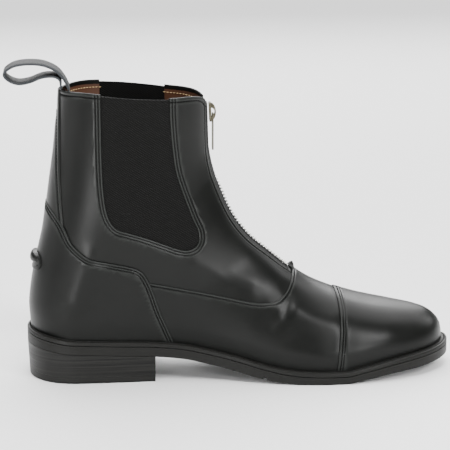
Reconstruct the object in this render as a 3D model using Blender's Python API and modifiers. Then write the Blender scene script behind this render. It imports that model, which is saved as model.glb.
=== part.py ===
"""Paddock boot for the right foot: leather upper with elastic gores, front zip and pull loop, on a welted sole.

Metres, +Z up, +X towards the toe, +Y towards the inner side of the foot. The origin is on the floor,
below the middle of the heel. Every shape is worked out from the sizes below.
"""

import math

import bmesh
import bpy
import numpy as np
from mathutils import Matrix, Vector
from mathutils.geometry import intersect_line_line_2d

# Main sizes of the boot
LENGTH = 0.296  # sole, from the heel's back to the toe
BALL_WIDTH = 0.096  # sole, across the ball
COLLAR_HEIGHT = 0.1992  # floor to the top line, beside the gore
SHAFT_WIDTH = 0.078  # across the collar
HEEL_HEIGHT = 0.018  # floor to the outsole at the heel's breast
HEEL_LENGTH = 0.0875
HEEL_TAPER = 0.0012  # inset of the heel's bottom edge
TOE_SPRING = 0.0088
OUTSOLE_THICKNESS = 0.0062
WELT_THICKNESS = 0.0030
WELT_LEDGE = 0.0040  # welt that shows beyond the upper at the forefoot
GROOVE_WIDTH = 0.0026
GROOVE_DEPTH = 0.0016
GROOVE_PLACE = 0.162  # from the heel's back
SOCK_RISE = 0.0014  # insole above the welt
CLEARANCE = 0.0003  # between pieces that touch

# Leather and elastic. The form's surface is the quarters' outer face; overlays rise above it
WALL = 0.0020  # quarter and lining together
VAMP_FACE = 0.0010
STAY_FACE = 0.0009
COUNTER_FACE = 0.0013
CAP_FACE = 0.0016
GORE_SINK = 0.0004
GORE_THICKNESS = 0.0013
GORE_DROP = 0.0012  # gore's top edge below the leather's
LASTING_DEPTH = 0.010  # how far the last runs on below the welt, cut away
WELT_SEAT = 0.0012  # welt that reaches inside the upper's wall

# Zip, slider and pull tab
ZIP_WIDTH = 0.0160
ZIP_SINK = 0.0007  # tape's face below the leather's
ZIP_TAPE = 0.0011
CHAIN_WIDTH = 0.0056
CHAIN_RISE = 0.0011
ZIP_END_SHARE = 0.614  # place of the zip's lower end along the boot
ZIP_TOP_DROP = 0.0004  # zip's upper end below the top line
SLIDER_WIDTH = 0.0084
SLIDER_LENGTH = 0.0135
SLIDER_THICKNESS = 0.0014
BRIDGE_WIDTH = 0.0024
BRIDGE_REACH = 0.0034
BRIDGE_HEIGHT = 0.0122
BRIDGE_WIRE = 0.0010
BRIDGE_HOLE = 0.0054
SLIDER_DROP = 0.0073  # slider's middle below the top line
TAB_LENGTH = 0.0260
TAB_WIDTH = 0.0062
TAB_THICKNESS = 0.0010
TAB_EYE_WIDTH = 0.0036
TAB_EYE_LENGTH = 0.0056
TAB_BAR = 0.0010
TAB_PLACE = 0.42  # of the way from the middle of the bridge's hole to its lower end

# Spur rest, pull loop and the point of the vamp at the zip's end
SPUR_HEIGHT = 0.0812  # middle of the spur rest above the floor
SPUR_PATCH = 0.0126
SPUR_DEPTH = 0.0056  # how far it wraps round the heel, seen from the side
SPUR_THICKNESS = 0.0010
SPUR_ROLL_RISE = 0.0016  # roll's middle above the patch's
SPUR_ROLL_HEIGHT = 0.0076
SPUR_ROLL_REACH = 0.0029
SPUR_ROLL_WIDTH = 0.0250
LOOP_WIDTH = 0.0240
LOOP_THICKNESS = 0.0014
LOOP_REACH = 0.0370
LOOP_RISE = 0.0180
POINT_RISE = 0.0042
POINT_LENGTH = 0.0036
POINT_WIDTH = 0.0072

# Fineness of the lofts
RINGS = 35
SIDE_STEPS = 12
SOLE_STATIONS = 42
SEAM_STEPS = 2
FEATHER_STEPS = 30
CROWN_STEPS = 60
ZIP_STEPS = 16

# Fan of sections from the toe to the collar: front x and z on the ridge, then the section's other end, as x
# between the heel's corner and the toe for the foot and as z for the shaft, the share of the section that
# the crown rounds, and its power. Shares of TOE_OF_LAST, COLLAR_HEIGHT, and either of those.
CORNER_ROW = 14
SECTION_COLUMNS = ("front_x", "front_z", "end", "crown", "power")
SECTIONS = (
    (1.0000, 0.115, 1.0000, 0.78, 2.20),
    (0.9954, 0.141, 0.9960, 0.78, 2.20),
    (0.9838, 0.1645, 0.9853, 0.76, 2.20),
    (0.9632, 0.1865, 0.9661, 0.76, 2.20),
    (0.9286, 0.2035, 0.9308, 0.76, 2.30),
    (0.8740, 0.2200, 0.8756, 0.79, 2.32),
    (0.8109, 0.2400, 0.8100, 0.83, 2.30),
    (0.7438, 0.2700, 0.7331, 0.88, 2.25),
    (0.6853, 0.3060, 0.6563, 0.91, 2.20),
    (0.6328, 0.3550, 0.5655, 0.90, 2.14),
    (0.5770, 0.4200, 0.4642, 0.84, 2.08),
    (0.5268, 0.4850, 0.3489, 0.76, 2.00),
    (0.4902, 0.5600, 0.2232, 0.65, 1.90),
    (0.4660, 0.6390, 0.1114, 0.57, 1.80),
    (0.4492, 0.7090, 0.0000, 0.52, 1.74),
    (0.4403, 0.7630, 0.2210, 0.51, 1.70),
    (0.4365, 0.8030, 0.3110, 0.51, 1.70),
    (0.4356, 0.8380, 0.4170, 0.53, 1.70),
    (0.4351, 0.8740, 0.5300, 0.55, 1.70),
    (0.4344, 0.9140, 0.6680, 0.56, 1.72),
    (0.4330, 0.9540, 0.7960, 0.57, 1.74),
    (0.4317, 0.9950, 0.9190, 0.58, 1.76),
    (0.4306, 1.0400, 1.0400, 0.58, 1.78),
)

# Back of the heel and shaft: z, x, reach of the rounding, its power, half width of the ankle and shaft.
# Shares of COLLAR_HEIGHT, LENGTH, LENGTH, none and SHAFT_WIDTH.
BACK_COLUMNS = ("z", "x", "reach", "power", "half")
BACK = (
    (0.10, 0.0150, 0.122, 2.30, 0.410),
    (0.17, 0.0128, 0.122, 2.30, 0.412),
    (0.21, 0.0107, 0.122, 2.30, 0.416),
    (0.25, 0.0092, 0.122, 2.30, 0.420),
    (0.30, 0.0122, 0.125, 2.30, 0.423),
    (0.366, 0.0193, 0.130, 2.30, 0.430),
    (0.437, 0.0306, 0.138, 2.25, 0.444),
    (0.532, 0.0449, 0.150, 2.20, 0.468),
    (0.592, 0.0506, 0.158, 2.20, 0.476),
    (0.688, 0.0597, 0.166, 2.20, 0.482),
    (0.798, 0.0706, 0.172, 2.20, 0.488),
    (0.868, 0.0760, 0.174, 2.20, 0.494),
    (0.990, 0.0845, 0.176, 2.20, 0.500),
    (1.060, 0.0880, 0.176, 2.20, 0.500),
)

# Plan of the sole: x, outer and inner half widths and the centre line's shift towards the inner side, then
# how much of the ledge shows. Shares of LENGTH, three of BALL_WIDTH, and of WELT_LEDGE.
PLAN_COLUMNS = ("x", "outer", "inner", "shift", "ledge")
PLAN = (
    (0.00, 0.372, 0.366, 0.000, 0.42),
    (0.10, 0.370, 0.364, 0.000, 0.45),
    (0.20, 0.364, 0.354, 0.000, 0.50),
    (0.30, 0.350, 0.328, 0.000, 0.62),
    (0.372, 0.360, 0.298, 0.000, 0.80),
    (0.456, 0.406, 0.298, 0.005, 0.92),
    (0.54, 0.478, 0.344, 0.016, 1.00),
    (0.625, 0.536, 0.404, 0.027, 1.00),
    (0.693, 0.562, 0.443, 0.036, 1.00),
    (0.76, 0.556, 0.450, 0.042, 1.00),
    (0.83, 0.540, 0.444, 0.046, 1.00),
    (0.90, 0.530, 0.420, 0.049, 1.00),
    (1.00, 0.530, 0.390, 0.052, 1.00),
)
TOE_REACH = 0.270  # of LENGTH, rounded by the toe
TOE_POWER = 2.2
HEEL_REACH = 0.122
HEEL_POWER = 2.3
FEATHER_TUCK = 0.0015  # how much the upper narrows at the welt
TUCK_HEIGHT = 0.014
ANKLE_RISE = 0.075  # over which the foot's width turns into the ankle's
FOOT_START = 0.34  # of LENGTH: the ankle's width fades out between these
FOOT_END = 0.66

# Underside of the outsole: x, share of HEEL_HEIGHT, share of TOE_SPRING, and the thickness there
SOLE_COLUMNS = ("x", "heel", "toe", "thick")
SOLE = (
    (0.00, 1.345, 0.0, 1.10),
    (0.04, 1.28, 0.0, 1.06),
    (0.10, 1.17, 0.0, 1.00),
    (0.20, 1.09, 0.0, 1.00),
    (0.2956, 1.00, 0.0, 1.03),
    (0.365, 0.890, 0.0, 1.03),
    (0.402, 0.765, 0.0, 1.04),
    (0.456, 0.567, 0.0, 1.06),
    (0.497, 0.390, 0.0, 1.08),
    (0.54, 0.195, 0.0, 1.08),
    (0.585, 0.065, 0.0, 0.98),
    (0.635, 0.0, 0.0, 0.88),
    (0.685, 0.0, 0.0, 0.80),
    (0.735, 0.0, 0.0, 0.79),
    (0.77, 0.0, 0.19, 0.82),
    (0.811, 0.0, 0.39, 0.88),
    (0.848, 0.0, 0.55, 0.94),
    (0.892, 0.0, 0.68, 1.00),
    (0.94, 0.0, 0.81, 1.02),
    (1.00, 0.0, 1.00, 1.02),
)

# Side view of each seam, from points in shares of LENGTH and COLLAR_HEIGHT
TOP_LINE = (
    (0.02, 0.996), (0.088, 1.001), (0.132, 1.005), (0.176, 1.003), (0.255, 0.994),
    (0.335, 0.985), (0.378, 0.983), (0.403, 0.978), (0.417, 0.966), (0.427, 0.946), (0.470, 0.880),
)
CAP_EDGE = (
    (0.7130, 0.360), (0.7200, 0.300), (0.7250, 0.262), (0.7240, 0.190), (0.7190, 0.110), (0.7130, 0.020),
)
VAMP_EDGE = (
    (0.230, 0.366), (0.287, 0.350), (0.368, 0.324), (0.454, 0.295), (0.510, 0.276), (0.547, 0.269),
    (0.577, 0.274), (0.600, 0.297), (0.615, 0.330), (0.6248, 0.362), (0.6290, 0.420),
)
COUNTER_EDGE = (
    (-0.020, 0.672), (0.030, 0.640), (0.052, 0.617), (0.076, 0.578), (0.092, 0.543), (0.107, 0.495),
    (0.130, 0.462), (0.152, 0.443), (0.188, 0.428), (0.230, 0.414), (0.253, 0.403), (0.270, 0.385),
    (0.282, 0.355), (0.292, 0.318), (0.308, 0.247), (0.324, 0.190), (0.342, 0.120), (0.352, 0.060),
)
GORE_EDGE = (
    (0.1765, 1.060), (0.1765, 0.995), (0.1770, 0.913), (0.1778, 0.768), (0.1812, 0.665), (0.1895, 0.592),
    (0.2070, 0.548), (0.2330, 0.532), (0.2700, 0.513), (0.3190, 0.484), (0.3480, 0.466), (0.3700, 0.459),
    (0.3880, 0.466), (0.3985, 0.489), (0.3975, 0.522), (0.3820, 0.576), (0.3495, 0.714), (0.3390, 0.812),
    (0.3340, 0.910), (0.3330, 0.985), (0.3330, 1.060),
)
STAY_EDGE = ((0.0885, 1.060), (0.0860, 0.900), (0.0842, 0.750), (0.0855, 0.645), (0.0905, 0.530))
STAY_BACK = -0.03

# Path of the pull loop from the top line's edge, out, round and down inside the shaft: reach from the
# shaft's back and rise above the top line, in shares of LOOP_REACH and LOOP_RISE
LOOP_PATH = (
    (0.030, 0.06), (0.030, 0.20), (0.010, 0.38), (-0.070, 0.49), (-0.20, 0.51), (-0.34, 0.46),
    (-0.53, 0.31), (-0.71, 0.245), (-0.85, 0.31), (-0.955, 0.45), (-0.995, 0.62), (-0.93, 0.78),
    (-0.79, 0.925), (-0.57, 0.985), (-0.33, 0.955), (-0.145, 0.83), (-0.015, 0.66), (0.070, 0.45),
    (0.138, 0.20), (0.176, -0.08), (0.184, -0.70),
)

MATERIALS = {
    "black_leather": ((0.020, 0.021, 0.021), 0.34, 0.0),
    "black_elastic": ((0.008, 0.008, 0.008), 0.85, 0.0),
    "black_rubber": ((0.022, 0.022, 0.021), 0.45, 0.0),
    "black_webbing": ((0.020, 0.021, 0.022), 0.70, 0.0),
    "tan_leather": ((0.250, 0.105, 0.042), 0.55, 0.0),
    "zip_metal": ((0.420, 0.400, 0.350), 0.28, 1.0),
    "slider_metal": ((0.160, 0.135, 0.095), 0.40, 1.0),
}


def smooth_curve(places, values):
    """Monotone cubic through (place, value) pairs: smooth, with no overshoot between them."""
    xs, ys = np.array(places, float), np.array(values, float)
    steps = np.diff(xs)
    slopes = np.diff(ys) / steps
    tangents = np.zeros_like(ys)
    tangents[0], tangents[-1] = slopes[0], slopes[-1]
    same_way = slopes[:-1] * slopes[1:] > 0
    weight_a, weight_b = 2 * steps[1:] + steps[:-1], steps[1:] + 2 * steps[:-1]
    before = np.where(same_way, slopes[:-1], 1.0)
    after = np.where(same_way, slopes[1:], 1.0)
    inner = (weight_a + weight_b) / (weight_a / before + weight_b / after)
    tangents[1:-1] = np.where(same_way, inner, 0.0)

    def at(place):
        place = np.clip(np.asarray(place, float), xs[0], xs[-1])
        k = np.clip(np.searchsorted(xs, place, side="right") - 1, 0, len(xs) - 2)
        h = steps[k]
        t = (place - xs[k]) / h
        return (
            (1 + 2 * t) * (1 - t) ** 2 * ys[k]
            + t * (1 - t) ** 2 * h * tangents[k]
            + t * t * (3 - 2 * t) * ys[k + 1]
            + t * t * (t - 1) * h * tangents[k + 1]
        )

    return at


def columns(table, names, scales):
    """The table's columns by name, each scaled to metres."""
    return {n: np.array([row[i] for row in table]) * scales[i] for i, n in enumerate(names)}


def curves(table, names, scales):
    """A smooth curve for each column against the first one."""
    found = columns(table, names, scales)
    return {n: smooth_curve(found[names[0]], found[n]) for n in names[1:]}


TOE_OF_LAST = LENGTH - WELT_LEDGE - CAP_FACE
plan = curves(PLAN, PLAN_COLUMNS, (LENGTH, BALL_WIDTH, BALL_WIDTH, BALL_WIDTH, WELT_LEDGE))
back = curves(BACK, BACK_COLUMNS, (COLLAR_HEIGHT, LENGTH, LENGTH, 1.0, SHAFT_WIDTH))
sole = curves(SOLE, SOLE_COLUMNS, (LENGTH, HEEL_HEIGHT, TOE_SPRING, OUTSOLE_THICKNESS))
OUTER, INNER = "outer", "inner"
SIDES = ((OUTER, -1.0), (INNER, 1.0))


def ease(share):
    share = np.clip(share, 0.0, 1.0)
    return share * share * (3 - 2 * share)


def rounding(share, power):
    """0 at an end of the form, rising like an ellipse to 1 where the rounding stops."""
    share = np.clip(share, 0.0, 1.0)
    return np.sqrt(np.clip(1 - (1 - share) ** power, 0.0, 1.0))


def sole_under(x):
    return sole["heel"](x) + sole["toe"](x)


def outsole_top(x):
    return sole_under(x) + sole["thick"](x)


def welt_top(x):
    return outsole_top(x) + CLEARANCE + WELT_THICKNESS


def plan_half(side, x, inset):
    """Half width of the sole's outline at x, moved inwards by inset."""
    ends = rounding((x - inset) / (HEEL_REACH * LENGTH), HEEL_POWER)
    ends = ends * rounding((LENGTH - inset - x) / (TOE_REACH * LENGTH), TOE_POWER)
    return (plan[side](x) - inset) * ends


def centre(x):
    return plan["shift"](x)


def last_half(side, x, z, from_ridge, power):
    """Half width of the last at a point of the side view. from_ridge is the share of the crown's reach."""
    height = z - welt_top(x)
    foot = plan[side](x) - plan["ledge"](x) - CAP_FACE - FEATHER_TUCK * (1 - ease(height / TUCK_HEIGHT))
    toe_share = (TOE_OF_LAST - x) / (TOE_REACH * LENGTH)
    foot = foot * rounding(toe_share, TOE_POWER)
    fade = (x / LENGTH - FOOT_START) / (FOOT_END - FOOT_START)
    ankle = ease(height / ANKLE_RISE) * (1 - ease(fade))
    wide = foot * (1 - ankle) + back["half"](z) * ankle
    at_back = rounding((x - back["x"](z)) / back["reach"](z), back["power"](z))
    return wide * at_back * rounding(from_ridge, power)


def section_curves():
    """Smooth curves through the sections' columns, with each section's lower end in metres."""
    rows = np.arange(len(SECTIONS))
    found = columns(SECTIONS, SECTION_COLUMNS, (TOE_OF_LAST, COLLAR_HEIGHT, 1.0, 1.0, 1.0))
    ends = found["end"]
    corner_z = float(welt_top(0.0)) - LASTING_DEPTH
    corner_x = float(back["x"](corner_z))
    foot_x = corner_x + ends[: CORNER_ROW + 1] * (TOE_OF_LAST - corner_x)
    shaft_z = np.concatenate(([corner_z], ends[CORNER_ROW + 1:] * COLLAR_HEIGHT))
    made = {n: smooth_curve(rows, found[n]) for n in ("front_x", "front_z", "crown", "power")}
    made["bottom_x"] = smooth_curve(rows[: CORNER_ROW + 1], foot_x)
    made["back_z"] = smooth_curve(rows[CORNER_ROW:], shaft_z)
    return made


section = section_curves()


def last_ring(row, steps):
    """One section of the last, from the ridge down the outer side and from the ridge down the inner side."""
    front = np.array([section["front_x"](row), section["front_z"](row)])
    if row <= CORNER_ROW:
        x = float(section["bottom_x"](row))
        end = np.array([x, welt_top(x) - LASTING_DEPTH])
    else:
        z = float(section["back_z"](row))
        end = np.array([float(back["x"](z)), z])
    down = (1 - np.cos(np.linspace(0, math.pi, steps + 1))) / 2
    points = front + down[:, None] * (end - front)
    closed = row >= CORNER_ROW
    sides = []
    for side, sign in SIDES:
        x, z = points[:, 0], points[:, 1]
        half = last_half(side, x, z, down / section["crown"](row), section["power"](row))
        if closed:
            half[-1] = 0.0
        sides.append([Vector((px, centre(px) + sign * h, pz)) for px, pz, h in zip(x, z, half)])
    return sides


def ring_rows():
    """Rows of the sections to loft, closer together round the toe."""
    last_row = len(SECTIONS) - 1
    return np.linspace(0, 1, RINGS + 1) ** 1.12 * last_row


def link(obj, collection):
    collection.objects.link(obj)
    return obj


def mesh_object(name, bm, collection, smooth=True):
    bmesh.ops.recalc_face_normals(bm, faces=bm.faces)
    mesh = bpy.data.meshes.new(name)
    bm.to_mesh(mesh)
    bm.free()
    if smooth:
        mesh.shade_smooth()
        mesh.set_sharp_from_angle(angle=math.radians(38))
    return link(bpy.data.objects.new(name, mesh), collection)


def last_surface():
    """Open surface of the last: closed along the ridge, the toe and the back, open below and at the top."""
    bm = bmesh.new()
    rings = []
    for row in ring_rows():
        rings.append([[bm.verts.new(p) for p in side] for side in last_ring(float(row), SIDE_STEPS)])
    for near, far in zip(rings, rings[1:]):
        for side in range(2):
            a, b = near[side], far[side]
            for k in range(SIDE_STEPS):
                bm.faces.new((a[k], a[k + 1], b[k + 1], b[k]))
    bmesh.ops.remove_doubles(bm, verts=bm.verts, dist=1e-6)
    bmesh.ops.dissolve_degenerate(bm, edges=bm.edges, dist=1e-7)
    bmesh.ops.triangulate(bm, faces=bm.faces, quad_method="FIXED")
    bmesh.ops.recalc_face_normals(bm, faces=bm.faces)
    bm.normal_update()
    heel_face = min(bm.faces, key=lambda f: f.calc_center_median().x)
    if heel_face.normal.x > 0:
        bmesh.ops.reverse_faces(bm, faces=bm.faces)
        bm.normal_update()
    return bm


def last_wall(name, face, thickness, collection):
    """Wall of the last's form, from face outwards of the last and thickness inwards from there."""
    bm = last_surface()
    moves = [(v, v.normal.copy()) for v in bm.verts]
    for vert, normal in moves:
        vert.co += normal * face
    mesh = bpy.data.meshes.new(name)
    bm.to_mesh(mesh)
    bm.free()
    obj = link(bpy.data.objects.new(name, mesh), collection)
    solid = obj.modifiers.new("wall", "SOLIDIFY")
    solid.thickness = thickness
    solid.offset = -1.0
    return obj


def catmull(points, per_span, closed=False):
    """Smooth curve through points, as many points in each span."""
    pts = [Vector(p) for p in points]
    count = len(pts)
    spans = count if closed else count - 1
    found = []
    for i in range(spans):
        if closed:
            a, b, c, d = (pts[(i + k) % count] for k in (-1, 0, 1, 2))
        else:
            a, b, c, d = pts[max(i - 1, 0)], pts[i], pts[i + 1], pts[min(i + 2, count - 1)]
        for k in range(per_span):
            t = k / per_span
            found.append(
                0.5 * ((2 * b) + (c - a) * t + (2 * a - 5 * b + 4 * c - d) * t * t
                       + (3 * b - a - 3 * c + d) * t ** 3)
            )
    if not closed:
        found.append(pts[-1])
    return found


def seam(points, per_span=SEAM_STEPS):
    """Seam in the side view, in metres, from its points in shares."""
    return catmull([(x * LENGTH, z * COLLAR_HEIGHT) for x, z in points], per_span)


def prism(name, outline, near, far, collection):
    """Side-view outline, run from y = near to y = far."""
    bm = bmesh.new()
    face = bm.faces.new([bm.verts.new((p[0], near, p[1])) for p in outline])
    made = bmesh.ops.extrude_face_region(bm, geom=[face])
    moved = [v for v in made["geom"] if isinstance(v, bmesh.types.BMVert)]
    bmesh.ops.translate(bm, verts=moved, vec=(0, far - near, 0))
    return mesh_object(name, bm, collection, smooth=False)


def cut(obj, tool, operation):
    step = obj.modifiers.new(tool.name, "BOOLEAN")
    step.operation = operation
    step.object = tool
    step.solver = "EXACT"
    return obj


def finish(obj, collection):
    """The object with its cuts made, as a plain mesh of its own in the same place."""
    bpy.context.view_layer.update()
    graph = bpy.context.evaluated_depsgraph_get()
    mesh = bpy.data.meshes.new_from_object(obj.evaluated_get(graph))
    name, place = obj.name, obj.location.copy()
    bpy.data.objects.remove(obj)
    bm = bmesh.new()
    bm.from_mesh(mesh)
    bmesh.ops.remove_doubles(bm, verts=bm.verts, dist=2e-6)
    bmesh.ops.dissolve_degenerate(bm, edges=bm.edges, dist=2e-6)
    bmesh.ops.triangulate(bm, faces=[f for f in bm.faces if len(f.verts) > 4])
    bm.to_mesh(mesh)
    bm.free()
    mesh.name = name
    mesh.shade_smooth()
    mesh.set_sharp_from_angle(angle=math.radians(38))
    made = link(bpy.data.objects.new(name, mesh), collection)
    made.location = place
    return made


def stations(start, end, count):
    """Places along x, close together at both rounded ends."""
    share = (1 - np.cos(np.linspace(0, math.pi, count + 1))) / 2
    return start + (end - start) * share


def slab(name, spots, collection):
    """Solid from rows of four corners: outer top, inner top, inner bottom, outer bottom."""
    bm = bmesh.new()
    rows = [[bm.verts.new(p) for p in row] for row in spots]
    for a, b in zip(rows, rows[1:]):
        for k in range(4):
            m = (k + 1) % 4
            bm.faces.new((a[k], a[m], b[m], b[k]))
    bm.faces.new(rows[0])
    bm.faces.new(rows[-1])
    bmesh.ops.remove_doubles(bm, verts=bm.verts, dist=1e-6)
    bmesh.ops.dissolve_degenerate(bm, edges=bm.edges, dist=1e-7)
    return mesh_object(name, bm, collection)


def plate(name, inset, top, bottom, collection):
    """Plate of the sole's outline, inset all round, between two heights."""
    rows = []
    for x in stations(inset, LENGTH - inset, SOLE_STATIONS):
        outer = centre(x) - plan_half(OUTER, x, inset)
        inner = centre(x) + plan_half(INNER, x, inset)
        rows.append(((x, outer, top(x)), (x, inner, top(x)), (x, inner, bottom(x)), (x, outer, bottom(x))))
    return slab(name, rows, collection)


def build_outsole(collection, tools):
    obj = plate("outsole", 0.0, outsole_top, sole_under, collection)
    depth = sole_under(GROOVE_PLACE) + GROOVE_DEPTH
    half = GROOVE_WIDTH / 2
    box = ((GROOVE_PLACE - half, -0.01), (GROOVE_PLACE + half, -0.01),
           (GROOVE_PLACE + half, depth), (GROOVE_PLACE - half, depth))
    groove = prism("groove_cutter", box, -BALL_WIDTH, BALL_WIDTH, tools)
    return finish(cut(obj, groove, "DIFFERENCE"), collection)


def build_heel(collection):
    """Heel block: follows the outsole's underside, with a straight breast and a slightly smaller foot."""
    rows = []
    for share in (1 - np.cos(np.linspace(0, math.pi / 2, SOLE_STATIONS // 2 + 1))):
        x = HEEL_LENGTH * share
        low_x = HEEL_TAPER + (HEEL_LENGTH - HEEL_TAPER) * share
        top = sole_under(x) - CLEARANCE
        rows.append((
            (x, centre(x) - plan_half(OUTER, x, 0.0), top),
            (x, centre(x) + plan_half(INNER, x, 0.0), top),
            (low_x, centre(low_x) + plan_half(INNER, low_x, HEEL_TAPER), 0.0),
            (low_x, centre(low_x) - plan_half(OUTER, low_x, HEEL_TAPER), 0.0),
        ))
    return slab("heel", rows, collection)


def welt_inner():
    """Inset of the welt's inner edge, a little inside the upper's wall."""
    return WELT_LEDGE + CAP_FACE + FEATHER_TUCK + WALL + WELT_SEAT


def build_welt(collection):
    """Strip round the whole sole, under the edge of the upper."""
    inset = welt_inner()
    outer_x = stations(0.0, LENGTH, SOLE_STATIONS)
    inner_x = stations(inset, LENGTH - inset, SOLE_STATIONS)
    loop = []
    for side, sign in SIDES:
        order = range(SOLE_STATIONS + 1) if sign < 0 else range(SOLE_STATIONS - 1, 0, -1)
        for k in order:
            spots = []
            for x, gap in ((outer_x[k], 0.0), (inner_x[k], inset)):
                y = centre(x) + sign * plan_half(side, x, gap)
                spots.append((x, y))
            loop.append(spots)
    bm = bmesh.new()
    rows = []
    for outer, inner in loop:
        corners = []
        for (x, y), rise in ((outer, WELT_THICKNESS), (inner, WELT_THICKNESS), (inner, 0.0), (outer, 0.0)):
            corners.append(bm.verts.new((x, y, outsole_top(x) + CLEARANCE + rise)))
        rows.append(corners)
    for a, b in zip(rows, rows[1:] + rows[:1]):
        for k in range(4):
            m = (k + 1) % 4
            bm.faces.new((a[k], a[m], b[m], b[k]))
    return mesh_object("welt", bm, collection)


def build_insole(collection):
    return plate(
        "insole", welt_inner() + CLEARANCE,
        lambda x: welt_top(x) + SOCK_RISE,
        lambda x: outsole_top(x) + CLEARANCE,
        collection,
    )


def top_line_height(x):
    """Height of the leather's top line at x."""
    points = seam(TOP_LINE)
    return float(np.interp(x, [p.x for p in points], [p.y for p in points]))


def upper_outline():
    """Side view of what is kept of the last: above the welt and below the top line."""
    bottom = bottom_points(-0.02 * LENGTH, 1.02 * LENGTH)
    toe = Vector((1.02 * LENGTH, 0.5 * COLLAR_HEIGHT))
    heel = Vector((-0.02 * LENGTH, 0.95 * COLLAR_HEIGHT))
    return bottom + [toe] + list(reversed(seam(TOP_LINE))) + [heel]


def crown_point(row, across):
    """Point of the form's surface on one section, this far sideways of the ridge."""
    ring = np.array(last_ring(row, CROWN_STEPS)[0 if across < 0 else 1])
    reach = np.abs(ring[:, 1] - centre(ring[:, 0]))
    widest = int(np.argmax(reach)) + 1
    x, z = (np.interp(abs(across), reach[:widest], ring[:widest, k]) for k in (0, 2))
    return Vector((x, float(centre(x)) + across, z))


def crown_frame(row, across=0.0):
    """Point of the surface beside the ridge, the way along it towards the collar and the way out."""
    row_step, side_step = 0.02, 0.0008
    along = (crown_point(row + row_step, across) - crown_point(row - row_step, across)).normalized()
    sideways = crown_point(row, across + side_step) - crown_point(row, across - side_step)
    return crown_point(row, across), along, sideways.cross(along).normalized()


def row_at_height(height):
    """Row whose ridge point is at this height on the shaft's front."""
    rows = np.linspace(CORNER_ROW, len(SECTIONS) - 1, 400)
    return float(np.interp(height, section["front_z"](rows), rows))


def row_at_x(x):
    rows = np.linspace(0, CORNER_ROW, 400)
    return float(np.interp(-x, -section["front_x"](rows), rows))


def front_top():
    """Height at which the ridge meets the top line."""
    rows = np.linspace(CORNER_ROW, len(SECTIONS) - 1, 400)
    x, z = section["front_x"](rows), section["front_z"](rows)
    below = [b for a, b in zip(x, z) if b < top_line_height(a)]
    return max(below)


def ridge_strip(name, corners, first, last, count, collection):
    """Strip along the ridge, bent over the crown, with this cross section of (across, out) corners."""
    bm = bmesh.new()
    rings = []
    for row in np.linspace(first, last, count + 1):
        ring = []
        for across, rise in corners:
            point, _, out = crown_frame(row, across)
            ring.append(bm.verts.new(point + out * rise))
        rings.append(ring)
    for near, far in zip(rings, rings[1:]):
        for k in range(len(corners)):
            m = (k + 1) % len(corners)
            bm.faces.new((near[k], near[m], far[m], far[k]))
    bm.faces.new(rings[0])
    bm.faces.new(rings[-1])
    return mesh_object(name, bm, collection)


def zip_rows():
    top = front_top() - ZIP_TOP_DROP
    return row_at_x(ZIP_END_SHARE * LENGTH), row_at_height(top)


def build_zip(collection):
    """Tape with the raised chain down its middle, closed from end to end."""
    half, chain, top = ZIP_WIDTH / 2, CHAIN_WIDTH / 2, -ZIP_SINK
    corners = (
        (-half, top), (-chain, top), (-chain, top + CHAIN_RISE), (chain, top + CHAIN_RISE),
        (chain, top), (half, top), (half, top - ZIP_TAPE), (-half, top - ZIP_TAPE),
    )
    first, last = zip_rows()
    return ridge_strip("zip", corners, first, last, ZIP_STEPS, collection)


def zip_slot(tools):
    """Cutter for the opening that the zip fills, up through the top line."""
    half, deep = ZIP_WIDTH / 2 + CLEARANCE, 2 * WALL
    corners = ((-half, deep), (0.0, deep), (half, deep), (half, -deep), (0.0, -deep), (-half, -deep))
    first = row_at_x(ZIP_END_SHARE * LENGTH + CLEARANCE)
    return ridge_strip("zip_slot", corners, first, len(SECTIONS) - 1.05, ZIP_STEPS + 2, tools)


def build_upper(collection, tools):
    obj = last_wall("upper", 0.0, WALL, collection)
    cut(obj, prism("upper_keep", upper_outline(), -BALL_WIDTH, BALL_WIDTH, tools), "INTERSECT")
    cut(obj, prism("gore_opening", seam(GORE_EDGE), -BALL_WIDTH, BALL_WIDTH, tools), "DIFFERENCE")
    cut(obj, zip_slot(tools), "DIFFERENCE")
    return finish(obj, collection)


def overlay(name, face, outline, collection, tools):
    """Leather laid on the upper: from a clearance above its wall to face, inside a side-view outline."""
    obj = last_wall(name, face, face - CLEARANCE, collection)
    cut(obj, prism(name + "_outline", outline, -BALL_WIDTH, BALL_WIDTH, tools), "INTERSECT")
    cut(obj, tools.objects["upper_keep"], "INTERSECT")
    return finish(obj, collection)


def bottom_points(start, end):
    """Side-view points just above the welt, from start to end."""
    return [Vector((x, welt_top(x) + CLEARANCE)) for x in np.linspace(start, end, FEATHER_STEPS)]


def shifted(points, along):
    """A seam moved sideways in its own plane, to leave a clearance beside its neighbour."""
    moved = []
    for k, p in enumerate(points):
        way = (points[min(k + 1, len(points) - 1)] - points[max(k - 1, 0)]).normalized()
        moved.append(p + Vector((-way.y, way.x)) * along)
    return moved


def build_counter(collection, tools):
    edge = seam(COUNTER_EDGE)
    low = [Vector((edge[0].x, edge[-1].y))]
    return overlay("counter", COUNTER_FACE, low + list(reversed(edge)), collection, tools)


def build_vamp(collection, tools):
    """Vamp between the counter, the quarter seam and the toe cap, with its point at the zip's end."""
    counter = shifted(seam(COUNTER_EDGE), CLEARANCE)
    cap = shifted(seam(CAP_EDGE), -CLEARANCE)
    edge = seam(VAMP_EDGE)
    start = crossing(counter, edge)
    outline = [start] + [p for p in counter if p.x > start.x] + list(reversed(cap))
    outline += list(reversed([p for p in edge if p.x > start.x + CLEARANCE]))
    vamp = overlay("vamp", VAMP_FACE, outline, collection, tools)
    return finish(cut(vamp, point_fin(tools), "UNION"), collection)


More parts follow.
